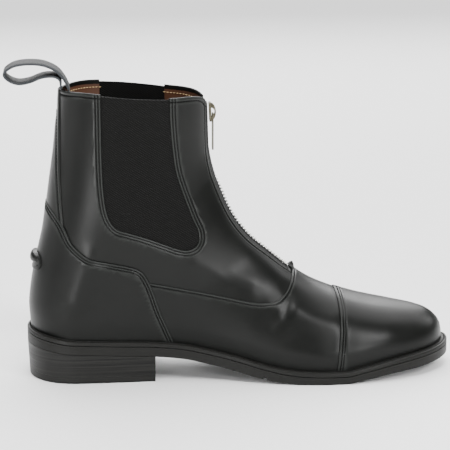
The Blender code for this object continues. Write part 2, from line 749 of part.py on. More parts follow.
def crossing(first, second):
    """Where two side-view seams cross."""
    for a, b in zip(first, first[1:]):
        for c, d in zip(second, second[1:]):
            met = intersect_line_line_2d(a, b, c, d)
            if met is not None:
                return met
    raise ValueError("these seams don't cross")


def build_cap(collection, tools):
    edge = seam(CAP_EDGE)
    front = 1.02 * LENGTH
    outline = edge + [Vector((front, edge[-1].y)), Vector((front, edge[0].y))]
    return overlay("toe_cap", CAP_FACE, outline, collection, tools)


def build_stay(collection, tools):
    """Strip over the shaft's back seam, from the top line down to the counter."""
    side = seam(STAY_EDGE)
    top = [p for p in seam(TOP_LINE) if p.x < side[0].x]
    counter = shifted(seam(COUNTER_EDGE), CLEARANCE)
    joint = crossing(counter, side)
    upper_side = [p for p in side if joint.y < p.y < top[-1].y]
    low = [p for p in counter if p.x < joint.x]
    outline = [Vector((STAY_BACK * LENGTH, top[0].y))] + top + upper_side + [joint]
    outline += list(reversed(low)) + [Vector((STAY_BACK * LENGTH, low[0].y))]
    return overlay("back_stay", STAY_FACE, outline, collection, tools)


def build_gore(name, sign, collection, tools):
    """Elastic gore, filling its opening on one side a clearance inside the leather."""
    obj = last_wall(name, -GORE_SINK, GORE_THICKNESS, collection)
    edge = shifted(seam(GORE_EDGE), CLEARANCE)
    far = sign * BALL_WIDTH
    cut(obj, prism(name + "_outline", edge, min(0.0, far), max(0.0, far), tools), "INTERSECT")
    top = [Vector((p.x, p.y - GORE_DROP)) for p in seam(TOP_LINE)]
    below = [Vector((0.0, 0.3 * COLLAR_HEIGHT))] + top + [Vector((0.5 * LENGTH, 0.3 * COLLAR_HEIGHT))]
    cut(obj, prism(name + "_top", below, -BALL_WIDTH, BALL_WIDTH, tools), "INTERSECT")
    return finish(obj, collection)


def build_spur_rest(collection, tools):
    """Leather patch at the back of the heel with a padded roll that keeps the spur up."""
    x = float(back["x"](SPUR_HEIGHT)) - COUNTER_FACE
    half = SPUR_PATCH / 2
    round_edge = []
    for k in range(11):
        a = math.pi * (k / 10 - 0.5)
        round_edge.append(Vector((x + SPUR_DEPTH * math.cos(a), SPUR_HEIGHT + half * math.sin(a))))
    behind = x - 2 * SPUR_DEPTH
    outline = [Vector((behind, SPUR_HEIGHT - half))] + round_edge + [Vector((behind, SPUR_HEIGHT + half))]
    face = COUNTER_FACE + CLEARANCE
    patch = last_wall("spur_rest", face + SPUR_THICKNESS, SPUR_THICKNESS, collection)
    cut(patch, prism("spur_patch", outline, -BALL_WIDTH, BALL_WIDTH, tools), "INTERSECT")
    patch = finish(patch, collection)

    bm = bmesh.new()
    bmesh.ops.create_uvsphere(bm, u_segments=20, v_segments=12, radius=0.5)
    size = (2 * (SPUR_ROLL_REACH + SPUR_THICKNESS), SPUR_ROLL_WIDTH, SPUR_ROLL_HEIGHT)
    bmesh.ops.scale(bm, vec=size, verts=bm.verts)
    height = SPUR_HEIGHT + SPUR_ROLL_RISE
    bmesh.ops.translate(bm, vec=(float(back["x"](height)) - COUNTER_FACE, 0, height), verts=bm.verts)
    roll = mesh_object("spur_roll", bm, tools)
    deep = 2 * (SPUR_ROLL_REACH + SPUR_THICKNESS)
    heel_form = last_wall("spur_bed", face + SPUR_THICKNESS / 2, deep, tools)
    roll = finish(cut(roll, heel_form, "DIFFERENCE"), tools)
    return finish(cut(patch, roll, "UNION"), collection)


def point_fin(tools):
    """Small point of the vamp's leather that stands up at the zip's lower end."""
    end_x = ZIP_END_SHARE * LENGTH + CLEARANCE
    foot, _, _ = crown_frame(row_at_x(end_x + POINT_LENGTH))
    seat, _, out = crown_frame(row_at_x(end_x))
    low = VAMP_FACE / 2
    profile = (
        (0.0, seat.z + low + CLEARANCE), (POINT_LENGTH * 0.40, seat.z + POINT_RISE * 0.50),
        (POINT_LENGTH * 0.72, foot.z + POINT_RISE * 1.32), (POINT_LENGTH * 0.95, foot.z + POINT_RISE * 1.28),
        (POINT_LENGTH * 1.08, foot.z + POINT_RISE * 0.90), (POINT_LENGTH * 1.04, foot.z + low),
    )
    bm = bmesh.new()
    sides = []
    for sign in (-1.0, 1.0):
        half = POINT_WIDTH / 2
        narrow = [1.0, 0.62, 0.20, 0.20, 0.62, 1.0]
        sides.append([bm.verts.new((end_x + x, float(centre(end_x)) + sign * half * n, z))
                      for (x, z), n in zip(profile, narrow)])
    for k in range(len(profile)):
        m = (k + 1) % len(profile)
        bm.faces.new((sides[0][k], sides[0][m], sides[1][m], sides[1][k]))
    bm.faces.new(sides[0])
    bm.faces.new(sides[1])
    return mesh_object("vamp_point", bm, tools, smooth=False)


def swept_strap(name, path, width, thickness, collection):
    """Flat strap of even thickness along a path in the side view."""
    bm = bmesh.new()
    rows = []
    for k, p in enumerate(path):
        way = (path[min(k + 1, len(path) - 1)] - path[max(k - 1, 0)]).normalized()
        out = Vector((-way.y, way.x)) * thickness / 2
        corners = ((p + out, -1), (p + out, 1), (p - out, 1), (p - out, -1))
        rows.append([bm.verts.new((q.x, side * width / 2, q.y)) for q, side in corners])
    for a, b in zip(rows, rows[1:]):
        for k in range(4):
            m = (k + 1) % 4
            bm.faces.new((a[k], a[m], b[m], b[k]))
    bm.faces.new(rows[0])
    bm.faces.new(rows[-1])
    return mesh_object(name, bm, collection)


def build_pull_loop(collection):
    x = float(back["x"](COLLAR_HEIGHT))
    anchor = Vector((x, top_line_height(x + WALL)))
    points = [anchor + Vector((a * LOOP_REACH, b * LOOP_RISE)) for a, b in LOOP_PATH]
    path = catmull(points, 2)
    return swept_strap("pull_loop", path, LOOP_WIDTH, LOOP_THICKNESS, collection)


def slider_place():
    point, along, out = crown_frame(row_at_height(front_top() - SLIDER_DROP))
    return point + out * (CHAIN_RISE - ZIP_SINK + CLEARANCE), along, out


def build_slider(collection, tools):
    """Zip slider: a plate on the chain, rounded at its corners, with a bridge for the pull tab."""
    origin, along, out = slider_place()
    bm = bmesh.new()
    bmesh.ops.create_cube(bm, size=1.0)
    bmesh.ops.scale(bm, vec=(SLIDER_THICKNESS, SLIDER_WIDTH, SLIDER_LENGTH), verts=bm.verts)
    corner_edges = [e for e in bm.edges if abs((e.verts[0].co - e.verts[1].co).x) > SLIDER_THICKNESS / 2]
    bmesh.ops.bevel(bm, geom=corner_edges, offset=SLIDER_WIDTH * 0.22, segments=3, profile=0.5, affect="EDGES")
    turn = Matrix.Rotation(math.atan2(along.x, along.z), 3, "Y")
    bmesh.ops.rotate(bm, cent=(0, 0, 0), matrix=turn, verts=bm.verts)
    bmesh.ops.translate(bm, vec=origin + out * SLIDER_THICKNESS / 2, verts=bm.verts)
    body = mesh_object("zip_slider", bm, collection)
    outer, inner = [], []
    for k in range(9):
        a = math.pi * (k / 8 - 0.5)
        side = Vector((math.cos(a), math.sin(a)))
        outer.append((side.x * BRIDGE_REACH, side.y * BRIDGE_HEIGHT / 2))
        inner.append((side.x * (BRIDGE_REACH - BRIDGE_WIRE), side.y * BRIDGE_HOLE / 2))
    sink = -SLIDER_THICKNESS * 0.4
    ring = [(sink, -BRIDGE_HEIGHT / 2)] + outer + [(sink, BRIDGE_HEIGHT / 2)]
    ring += [(sink, BRIDGE_HOLE / 2)] + list(reversed(inner)) + [(sink, -BRIDGE_HOLE / 2)]
    base = origin + out * SLIDER_THICKNESS
    outline = [(base.x + out.x * a + along.x * b, base.z + out.z * a + along.z * b) for a, b in ring]
    bridge = prism("bridge", outline, base.y - BRIDGE_WIDTH / 2, base.y + BRIDGE_WIDTH / 2, tools)
    return finish(cut(body, bridge, "UNION"), collection)


def tab_axis():
    """Line that the pull tab swings on: inside the bridge, near its lower end and clear of the plate."""
    origin, along, out = slider_place()
    low = TAB_PLACE * BRIDGE_HOLE / 2
    reach = SLIDER_THICKNESS + 2 * CLEARANCE + TAB_THICKNESS / 2
    return origin + out * reach - along * low


def build_tab(collection, tools):
    """Pull tab hanging from the slider's bridge, with a square eye round it. Its origin is on its axis."""
    axis = tab_axis()
    top = TAB_BAR / 2
    low = top - TAB_LENGTH
    half, eye = TAB_WIDTH / 2, TAB_EYE_WIDTH / 2
    bm = bmesh.new()
    bmesh.ops.create_cube(bm, size=1.0)
    bmesh.ops.scale(bm, vec=(TAB_THICKNESS, TAB_WIDTH, TAB_LENGTH), verts=bm.verts)
    bmesh.ops.translate(bm, vec=(0, 0, (top + low) / 2), verts=bm.verts)
    corner_edges = [e for e in bm.edges if abs((e.verts[0].co - e.verts[1].co).x) > TAB_THICKNESS / 2]
    bmesh.ops.bevel(bm, geom=corner_edges, offset=half * 0.55, segments=3, profile=0.5, affect="EDGES")
    tab = mesh_object("zip_pull_tab", bm, collection)
    outline = [(-0.005, -top), (0.005, -top), (0.005, -top - TAB_EYE_LENGTH), (-0.005, -top - TAB_EYE_LENGTH)]
    hole = prism("tab_eye", outline, -eye, eye, tools)
    tab.location = axis
    hole.location = axis
    return finish(cut(tab, hole, "DIFFERENCE"), collection)


def paint(obj, finish):
    colour, roughness, metallic = MATERIALS[finish]
    material = bpy.data.materials.get(finish)
    if material is None:
        material = bpy.data.materials.new(finish)
        material.use_nodes = True
        shader = material.node_tree.nodes["Principled BSDF"]
        shader.inputs["Base Color"].default_value = (*colour, 1.0)
        shader.inputs["Roughness"].default_value = roughness
        shader.inputs["Metallic"].default_value = metallic
        material.diffuse_color = (*colour, 1.0)
    obj.data.materials.clear()
    obj.data.materials.append(material)


def main():
    for obj in list(bpy.data.objects):
        bpy.data.objects.remove(obj)
    scene = bpy.context.scene.collection
    boot = bpy.data.collections.new("paddock_boot")
    tools = bpy.data.collections.new("cutters")
    scene.children.link(boot)
    scene.children.link(tools)

    paint(build_outsole(boot, tools), "black_rubber")
    paint(build_heel(boot), "black_rubber")
    paint(build_welt(boot), "black_rubber")
    paint(build_insole(boot), "tan_leather")
    paint(build_upper(boot, tools), "black_leather")
    paint(build_vamp(boot, tools), "black_leather")
    paint(build_cap(boot, tools), "black_leather")
    paint(build_counter(boot, tools), "black_leather")
    paint(build_stay(boot, tools), "black_leather")
    paint(build_gore("gore_outer", -1.0, boot, tools), "black_elastic")
    paint(build_gore("gore_inner", 1.0, boot, tools), "black_elastic")
    paint(build_spur_rest(boot, tools), "black_leather")
    paint(build_zip(boot), "zip_metal")
    paint(build_slider(boot, tools), "slider_metal")
    paint(build_tab(boot, tools), "slider_metal")
    paint(build_pull_loop(boot), "black_webbing")

    # Everything above has the heel's back at x = 0
    back_to_middle = Vector((-HEEL_LENGTH / 2, 0, 0))
    for piece in boot.objects:
        if piece.location.length > 0:
            piece.location += back_to_middle
        else:
            piece.data.transform(Matrix.Translation(back_to_middle))

    for cutter in tools.objects:
        cutter.hide_render = True
        cutter.display_type = "WIRE"


main()
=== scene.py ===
"""Looks of the paddock boot: fine meshes of its pieces on the boot's own form, materials and studio.

The form is that of the solids, from tables in shares of the boot's named sizes. Each leather piece is cut
from it along seams drawn in the side view, and gets a thickness, a rounded edge and rows of stitches.
Lengths are in metres. The tables have the heel's back at x = 0; placed() moves a mesh into the frame.
"""

import math

import bmesh
import bpy
import numpy as np
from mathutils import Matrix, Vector


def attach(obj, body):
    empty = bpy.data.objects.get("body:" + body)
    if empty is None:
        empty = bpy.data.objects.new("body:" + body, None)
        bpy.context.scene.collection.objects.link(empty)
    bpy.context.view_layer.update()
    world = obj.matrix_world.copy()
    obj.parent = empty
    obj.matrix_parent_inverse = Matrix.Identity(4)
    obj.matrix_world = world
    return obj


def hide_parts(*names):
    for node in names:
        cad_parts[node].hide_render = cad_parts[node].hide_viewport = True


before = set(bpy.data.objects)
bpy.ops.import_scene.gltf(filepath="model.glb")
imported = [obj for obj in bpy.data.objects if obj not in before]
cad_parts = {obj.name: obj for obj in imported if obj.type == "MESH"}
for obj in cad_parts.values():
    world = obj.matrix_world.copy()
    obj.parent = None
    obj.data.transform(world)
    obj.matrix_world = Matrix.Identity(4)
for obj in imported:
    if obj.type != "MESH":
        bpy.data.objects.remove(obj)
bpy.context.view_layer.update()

# Main sizes of the boot
LENGTH = 0.296
BALL_WIDTH = 0.096
COLLAR_HEIGHT = 0.1992
SHAFT_WIDTH = 0.078
HEEL_HEIGHT = 0.018
HEEL_LENGTH = 0.0875
HEEL_TAPER = 0.0012
TOE_SPRING = 0.0088
OUTSOLE_THICKNESS = 0.0062
WELT_THICKNESS = 0.0030
WELT_LEDGE = 0.0040
GROOVE_WIDTH = 0.0026
GROOVE_DEPTH = 0.0016
GROOVE_PLACE = 0.162
SOCK_RISE = 0.0014
CLEARANCE = 0.0003

# Leather and elastic
WALL = 0.0020
VAMP_FACE = 0.0010
STAY_FACE = 0.0009
COUNTER_FACE = 0.0013
CAP_FACE = 0.0016
GORE_SINK = 0.0004
GORE_DROP = 0.0012
LASTING_DEPTH = 0.010
WELT_SEAT = 0.0012
LINING_BAND = 0.0030  # black leather turned over the collar, seen inside
LINING_ROW = 0.0052  # cream stitches inside, below the top line
ROUND = 0.0007  # radius of a turned or skived leather edge
EDGE_RINGS = (0.00012, 0.00032, ROUND)
SHOULDER = 0.0009  # from a row of stitches to the swelling beside it
SHOULDER_RISE = 0.00010
ROW_WIDTH = 0.0004
ROW_DEPTH = 0.00034
ROW_SEAT = 0.00016  # thread's middle below the face
MARGIN = 0.0006  # leather tucked below the welt's top
GRID = 0.0027  # size of the leather's mesh
GRID_DOWN = 68  # its steps down a section
EVENING = 0.009  # reach of the smoothing along the flank
EVEN_FROM, EVEN_FADE = 6.0, 4.0  # row where it starts, and the rows it takes to come in
GORE_THICKNESS = 0.0011
GORE_EDGE_BAND = 0.0022
GORE_PITCH = 0.0013
GORE_SLOPE = math.radians(-34)

# Zip, slider and pull tab
ZIP_WIDTH = 0.0160
ZIP_SINK = 0.0007
CHAIN_RISE = 0.0011
ZIP_END_SHARE = 0.614
ZIP_TOP_DROP = 0.0004
FRONT_SHARE = 0.45  # part of a section that counts as its front
CHAIN_CORD = 0.0022  # middle of the tape's corded edge from the zip's middle
TOOTH_PITCH = 0.00243
TOOTH_SIZE = (0.0017, 0.0032, 0.0011)
TOOTH_OFFSET = 0.0010
TOOTH_CREASE = 0.45
TEETH_SINK = 0.0015  # teeth under the pull tab lie lower, which leaves it room
TEETH_SINK_HEIGHT = 0.125
TEETH_SINK_FADE = 0.020
SLIDER_DROP = 0.0073
SLIDER_WIDTH = 0.0084
SLIDER_LENGTH = 0.0135
SLIDER_THICKNESS = 0.0014
TAB_LENGTH = 0.0260
TAB_WIDTH = 0.0062
TAB_THICKNESS = 0.0010
TAB_BAR = 0.0010
TAB_EYE_WIDTH = 0.0036
TAB_EYE_LENGTH = 0.0056
TAB_PLACE = 0.42
BRIDGE_WIDTH = 0.0024
BRIDGE_REACH = 0.0034
BRIDGE_HEIGHT = 0.0122
BRIDGE_WIRE = 0.0010
BRIDGE_HOLE = 0.0054

# Spur rest, loop and the vamp's point
SPUR_HEIGHT = 0.0812
SPUR_PATCH = 0.0126
SPUR_DEPTH = 0.0056
SPUR_THICKNESS = 0.0010
SPUR_ROLL_RISE = 0.0016
SPUR_ROLL_HEIGHT = 0.0076
SPUR_ROLL_REACH = 0.0029
SPUR_ROLL_WIDTH = 0.0250
SPUR_ROWS, SPUR_GRID, SPUR_STEPS = (15.2, 18.4), 0.0006, 260  # rows of the last round it, and its mesh
LOOP_WIDTH = 0.0240
LOOP_THICKNESS = 0.0014
LOOP_REACH = 0.0370
LOOP_RISE = 0.0180
POINT_RISE = 0.0042
POINT_LENGTH = 0.0036
POINT_WIDTH = 0.0072

# Stitches, rows and nodes
THREAD_WIDTH = 0.0006
STITCHES = {"black": (0.0022, 0.0018), "cream": (0.0024, 0.0019)}  # pitch and length
SHORTEST_ROW = 0.006
WAVES_PER_UNIT = 0.314  # scale of a wave texture whose ribs lie one unit apart
MIX_A, MIX_B, MIX_RESULT = 6, 7, 2  # colour sockets of a mix node

# Camera of the photo, and the studio round it
CAMERA_TARGET = (0.09413, 0.0, 0.10198)
CAMERA_AZIMUTH = math.radians(-4.57)
CAMERA_ELEVATION = math.radians(12.97)
CAMERA_DISTANCE = 1.3426
CAMERA_LENS = 154.9
WORLD_STRENGTH = 0.14
SILK_STRENGTH, SILK_ANGLE, SILK_TILT = 5.0, math.radians(80), math.radians(-28)
BOOT_MIDDLE = (0.09, 0.0, 0.08)
SOFTBOXES = (
    ("softbox_key", (0.05, -0.60, 1.20), BOOT_MIDDLE, 0.50, 0.26, 11.0),
    ("softbox_heel", (-0.60, -1.15, 0.16), (0.0, -0.03, 0.08), 0.24, 0.24, 12.0),
    ("softbox_toe", (0.82, -0.88, 0.84), (0.2, 0.0, 0.04), 0.24, 0.30, 12.0),
    ("softbox_side", (0.74, -1.12, 0.36), (0.08, 0.0, 0.08), 0.20, 0.20, 7.0),
    ("softbox_back", (0.10, 1.60, 0.95), (0.1, 0.0, 0.12), 2.0, 0.8, 30.0),
    ("softbox_left", (-1.3, -0.1, 0.6), BOOT_MIDDLE, 0.4, 0.8, 6.0),
    ("softbox_right", (1.4, 0.6, 0.8), BOOT_MIDDLE, 0.5, 0.7, 6.0),
)

# Form of the last, its back line, plan and sole, in shares of the sizes
CORNER_ROW = 14
SECTION_COLUMNS = ("front_x", "front_z", "end", "crown", "power")
SECTIONS = (
    (1.0000, 0.115, 1.0000, 0.78, 2.20),
    (0.9954, 0.141, 0.9960, 0.78, 2.20),
    (0.9838, 0.1645, 0.9853, 0.76, 2.20),
    (0.9632, 0.1865, 0.9661, 0.76, 2.20),
    (0.9286, 0.2035, 0.9308, 0.76, 2.30),
    (0.8740, 0.2200, 0.8756, 0.79, 2.32),
    (0.8109, 0.2400, 0.8100, 0.83, 2.30),
    (0.7438, 0.2700, 0.7331, 0.88, 2.25),
    (0.6853, 0.3060, 0.6563, 0.91, 2.20),
    (0.6328, 0.3550, 0.5655, 0.90, 2.14),
    (0.5770, 0.4200, 0.4642, 0.84, 2.08),
    (0.5268, 0.4850, 0.3489, 0.76, 2.00),
    (0.4902, 0.5600, 0.2232, 0.65, 1.90),
    (0.4660, 0.6390, 0.1114, 0.57, 1.80),
    (0.4492, 0.7090, 0.0000, 0.52, 1.74),
    (0.4403, 0.7630, 0.2210, 0.51, 1.70),
    (0.4365, 0.8030, 0.3110, 0.51, 1.70),
    (0.4356, 0.8380, 0.4170, 0.53, 1.70),
    (0.4351, 0.8740, 0.5300, 0.55, 1.70),
    (0.4344, 0.9140, 0.6680, 0.56, 1.72),
    (0.4330, 0.9540, 0.7960, 0.57, 1.74),
    (0.4317, 0.9950, 0.9190, 0.58, 1.76),
    (0.4306, 1.0400, 1.0400, 0.58, 1.78),
)
BACK_COLUMNS = ("z", "x", "reach", "power", "half")
BACK = (
    (0.10, 0.0150, 0.122, 2.30, 0.410),
    (0.17, 0.0128, 0.122, 2.30, 0.412),
    (0.21, 0.0107, 0.122, 2.30, 0.416),
    (0.25, 0.0092, 0.122, 2.30, 0.420),
    (0.30, 0.0122, 0.125, 2.30, 0.423),
    (0.366, 0.0193, 0.130, 2.30, 0.430),
    (0.437, 0.0306, 0.138, 2.25, 0.444),
    (0.532, 0.0449, 0.150, 2.20, 0.468),
    (0.592, 0.0506, 0.158, 2.20, 0.476),
    (0.688, 0.0597, 0.166, 2.20, 0.482),
    (0.798, 0.0706, 0.172, 2.20, 0.488),
    (0.868, 0.0760, 0.174, 2.20, 0.494),
    (0.990, 0.0845, 0.176, 2.20, 0.500),
    (1.060, 0.0880, 0.176, 2.20, 0.500),
)
PLAN_COLUMNS = ("x", "outer", "inner", "shift", "ledge")
PLAN = (
    (0.00, 0.372, 0.366, 0.000, 0.42),
    (0.10, 0.370, 0.364, 0.000, 0.45),
    (0.20, 0.364, 0.354, 0.000, 0.50),
    (0.30, 0.350, 0.328, 0.000, 0.62),
    (0.372, 0.360, 0.298, 0.000, 0.80),
    (0.456, 0.406, 0.298, 0.005, 0.92),
    (0.54, 0.478, 0.344, 0.016, 1.00),
    (0.625, 0.536, 0.404, 0.027, 1.00),
    (0.693, 0.562, 0.443, 0.036, 1.00),
    (0.76, 0.556, 0.450, 0.042, 1.00),
    (0.83, 0.540, 0.444, 0.046, 1.00),
    (0.90, 0.530, 0.420, 0.049, 1.00),
    (1.00, 0.530, 0.390, 0.052, 1.00),
)
TOE_REACH = 0.270
TOE_POWER = 2.2
HEEL_REACH = 0.122
HEEL_POWER = 2.3
FEATHER_TUCK = 0.0015
TUCK_HEIGHT = 0.014
ANKLE_RISE = 0.075
FOOT_START = 0.34
FOOT_END = 0.66
SOLE_COLUMNS = ("x", "heel", "toe", "thick")
SOLE = (
    (0.00, 1.345, 0.0, 1.10),
    (0.04, 1.28, 0.0, 1.06),
    (0.10, 1.17, 0.0, 1.00),
    (0.20, 1.09, 0.0, 1.00),
    (0.2956, 1.00, 0.0, 1.03),
    (0.365, 0.890, 0.0, 1.03),
    (0.402, 0.765, 0.0, 1.04),
    (0.456, 0.567, 0.0, 1.06),
    (0.497, 0.390, 0.0, 1.08),
    (0.54, 0.195, 0.0, 1.08),
    (0.585, 0.065, 0.0, 0.98),
    (0.635, 0.0, 0.0, 0.88),
    (0.685, 0.0, 0.0, 0.80),
    (0.735, 0.0, 0.0, 0.79),
    (0.77, 0.0, 0.19, 0.82),
    (0.811, 0.0, 0.39, 0.88),
    (0.848, 0.0, 0.55, 0.94),
    (0.892, 0.0, 0.68, 1.00),
    (0.94, 0.0, 0.81, 1.02),
    (1.00, 0.0, 1.00, 1.02),
)

# Seams in the side view, shares of LENGTH and COLLAR_HEIGHT
TOP_LINE = (
    (0.02, 0.996), (0.088, 1.001), (0.132, 1.005), (0.176, 1.003), (0.255, 0.994),
    (0.335, 0.985), (0.378, 0.983), (0.403, 0.978), (0.417, 0.966), (0.427, 0.946), (0.470, 0.880),
)
CAP_EDGE = (
    (0.7130, 0.360), (0.7200, 0.300), (0.7250, 0.262), (0.7240, 0.190), (0.7190, 0.110), (0.7130, 0.020),
)
VAMP_EDGE = (
    (0.230, 0.366), (0.287, 0.350), (0.368, 0.324), (0.454, 0.295), (0.510, 0.276), (0.547, 0.269),
    (0.577, 0.274), (0.600, 0.297), (0.615, 0.330), (0.6248, 0.362), (0.6290, 0.420),
)
COUNTER_EDGE = (
    (-0.020, 0.672), (0.030, 0.640), (0.052, 0.617), (0.076, 0.578), (0.092, 0.543), (0.107, 0.495),
    (0.130, 0.462), (0.152, 0.443), (0.188, 0.428), (0.230, 0.414), (0.253, 0.403), (0.270, 0.385),
    (0.282, 0.355), (0.292, 0.318), (0.308, 0.247), (0.324, 0.190), (0.342, 0.120), (0.352, 0.060),
)
GORE_EDGE = (
    (0.1765, 1.060), (0.1765, 0.995), (0.1770, 0.913), (0.1778, 0.768), (0.1812, 0.665), (0.1895, 0.592),
    (0.2070, 0.548), (0.2330, 0.532), (0.2700, 0.513), (0.3190, 0.484), (0.3480, 0.466), (0.3700, 0.459),
    (0.3880, 0.466), (0.3985, 0.489), (0.3975, 0.522), (0.3820, 0.576), (0.3495, 0.714), (0.3390, 0.812),
    (0.3340, 0.910), (0.3330, 0.985), (0.3330, 1.060),
)
STAY_EDGE = (
    (0.0885, 1.060), (0.0860, 0.900), (0.0842, 0.750), (0.0855, 0.645), (0.0905, 0.530), (0.094, 0.45),
)

# Pull loop's path from the top line's edge, shares of LOOP_REACH and LOOP_RISE
LOOP_PATH = (
    (0.030, 0.06), (0.030, 0.20), (0.010, 0.38), (-0.070, 0.49), (-0.20, 0.51), (-0.34, 0.46),
    (-0.53, 0.31), (-0.71, 0.245), (-0.85, 0.31), (-0.955, 0.45), (-0.995, 0.62), (-0.93, 0.78),
    (-0.79, 0.925), (-0.57, 0.985), (-0.33, 0.955), (-0.145, 0.83), (-0.015, 0.66), (0.070, 0.45),
    (0.138, 0.20), (0.176, -0.08), (0.184, -0.70),
)


def smooth_curve(places, values):
    """Monotone cubic through (place, value) pairs."""
    xs, ys = np.array(places, float), np.array(values, float)
    steps = np.diff(xs)
    slopes = np.diff(ys) / steps
    tangents = np.zeros_like(ys)
    tangents[0], tangents[-1] = slopes[0], slopes[-1]
    same_way = slopes[:-1] * slopes[1:] > 0
    weight_a, weight_b = 2 * steps[1:] + steps[:-1], steps[1:] + 2 * steps[:-1]
    before = np.where(same_way, slopes[:-1], 1.0)
    after = np.where(same_way, slopes[1:], 1.0)
    inner = (weight_a + weight_b) / (weight_a / before + weight_b / after)
    tangents[1:-1] = np.where(same_way, inner, 0.0)

    def at(place):
        place = np.clip(np.asarray(place, float), xs[0], xs[-1])
        k = np.clip(np.searchsorted(xs, place, side="right") - 1, 0, len(xs) - 2)
        h = steps[k]
        t = (place - xs[k]) / h
        return (
            (1 + 2 * t) * (1 - t) ** 2 * ys[k]
            + t * (1 - t) ** 2 * h * tangents[k]
            + t * t * (3 - 2 * t) * ys[k + 1]
            + t * t * (t - 1) * h * tangents[k + 1]
        )

    return at


def columns(table, names, scales):
    return {n: np.array([row[i] for row in table]) * scales[i] for i, n in enumerate(names)}


def curves(table, names, scales):
    found = columns(table, names, scales)
    return {n: smooth_curve(found[names[0]], found[n]) for n in names[1:]}


TOE_OF_LAST = LENGTH - WELT_LEDGE - CAP_FACE
WELT_INSIDE = WELT_LEDGE + CAP_FACE + FEATHER_TUCK + WALL + WELT_SEAT
plan = curves(PLAN, PLAN_COLUMNS, (LENGTH, BALL_WIDTH, BALL_WIDTH, BALL_WIDTH, WELT_LEDGE))
back = curves(BACK, BACK_COLUMNS, (COLLAR_HEIGHT, LENGTH, LENGTH, 1.0, SHAFT_WIDTH))
sole = curves(SOLE, SOLE_COLUMNS, (LENGTH, HEEL_HEIGHT, TOE_SPRING, OUTSOLE_THICKNESS))
OUTER, INNER = "outer", "inner"
SIDES = ((OUTER, -1.0), (INNER, 1.0))


def ease(share):
    share = np.clip(share, 0.0, 1.0)
    return share * share * (3 - 2 * share)


def rounding(share, power):
    share = np.clip(share, 0.0, 1.0)
    return np.sqrt(np.clip(1 - (1 - share) ** power, 0.0, 1.0))


def sole_under(x):
    return sole["heel"](x) + sole["toe"](x)


def outsole_top(x):
    return sole_under(x) + sole["thick"](x)


def welt_bottom(x):
    return outsole_top(x) + CLEARANCE


def welt_top(x):
    return welt_bottom(x) + WELT_THICKNESS


def centre(x):
    return plan["shift"](x)


def plan_half(side, x, inset):
    """Half width of the sole's outline at x, moved inwards by inset."""
    ends = rounding((x - inset) / (HEEL_REACH * LENGTH), HEEL_POWER)
    ends = ends * rounding((LENGTH - inset - x) / (TOE_REACH * LENGTH), TOE_POWER)
    return (plan[side](x) - inset) * ends


def last_half(side, x, z, from_ridge, power):
    """Half width of the last at a point of the side view. from_ridge is the share of the crown's reach."""
    height = z - welt_top(x)
    foot = plan[side](x) - plan["ledge"](x) - CAP_FACE - FEATHER_TUCK * (1 - ease(height / TUCK_HEIGHT))
    foot = foot * rounding((TOE_OF_LAST - x) / (TOE_REACH * LENGTH), TOE_POWER)
    fade = (x / LENGTH - FOOT_START) / (FOOT_END - FOOT_START)
    ankle = ease(height / ANKLE_RISE) * (1 - ease(fade))
    wide = foot * (1 - ankle) + back["half"](z) * ankle
    at_back = rounding((x - back["x"](z)) / back["reach"](z), back["power"](z))
    return wide * at_back * rounding(from_ridge, power)


def section_curves():
    rows = np.arange(len(SECTIONS))
    found = columns(SECTIONS, SECTION_COLUMNS, (TOE_OF_LAST, COLLAR_HEIGHT, 1.0, 1.0, 1.0))
    ends = found["end"]
    corner_z = float(welt_top(0.0)) - LASTING_DEPTH
    corner_x = float(back["x"](corner_z))
    foot_x = corner_x + ends[: CORNER_ROW + 1] * (TOE_OF_LAST - corner_x)
    shaft_z = np.concatenate(([corner_z], ends[CORNER_ROW + 1:] * COLLAR_HEIGHT))
    made = {n: smooth_curve(rows, found[n]) for n in ("front_x", "front_z", "crown", "power")}
    made["bottom_x"] = smooth_curve(rows[: CORNER_ROW + 1], foot_x)
    made["back_z"] = smooth_curve(rows[CORNER_ROW:], shaft_z)
    return made


section = section_curves()
LAST_ROW = len(SECTIONS) - 1
TOP_ROW = LAST_ROW - 0.2  # just above the top line


def last_points(rows, downs):
    """Points of both sides of the last, as arrays of row, place down the section, and coordinate."""
    front_x, front_z = section["front_x"](rows), section["front_z"](rows)
    bottom_x, back_z = section["bottom_x"](rows), section["back_z"](rows)
    on_foot = rows <= CORNER_ROW
    end_x = np.where(on_foot, bottom_x, back["x"](back_z))
    end_z = np.where(on_foot, welt_top(bottom_x) - LASTING_DEPTH, back_z)
    x = front_x[:, None] + downs[None] * (end_x - front_x)[:, None]
    z = front_z[:, None] + downs[None] * (end_z - front_z)[:, None]
    share = downs[None] / section["crown"](rows)[:, None]
    sides = []
    for side, sign in SIDES:
        half = last_half(side, x, z, share, section["power"](rows)[:, None])
        half = np.where((rows >= CORNER_ROW)[:, None] & (downs >= 1.0)[None], 0.0, half)
        sides.append(np.stack((x, centre(x) + sign * half, z), axis=-1))
    return sides


def even_rows(first, last, spacing):
    """Rows whose sections lie at most spacing apart."""
    dense = np.linspace(first, last, 4000)
    points = last_points(dense, cosine(24))[0]
    steps = np.linalg.norm(np.diff(points, axis=0), axis=2).max(axis=1)
    total = np.concatenate(([0.0], np.cumsum(steps)))
    count = int(math.ceil(total[-1] / spacing))
    return np.interp(np.linspace(0, total[-1], count + 1), total, dense)


def cosine(count):
    """Shares from 0 to 1, close together at both ends."""
    return (1 - np.cos(np.linspace(0, math.pi, count + 1))) / 2


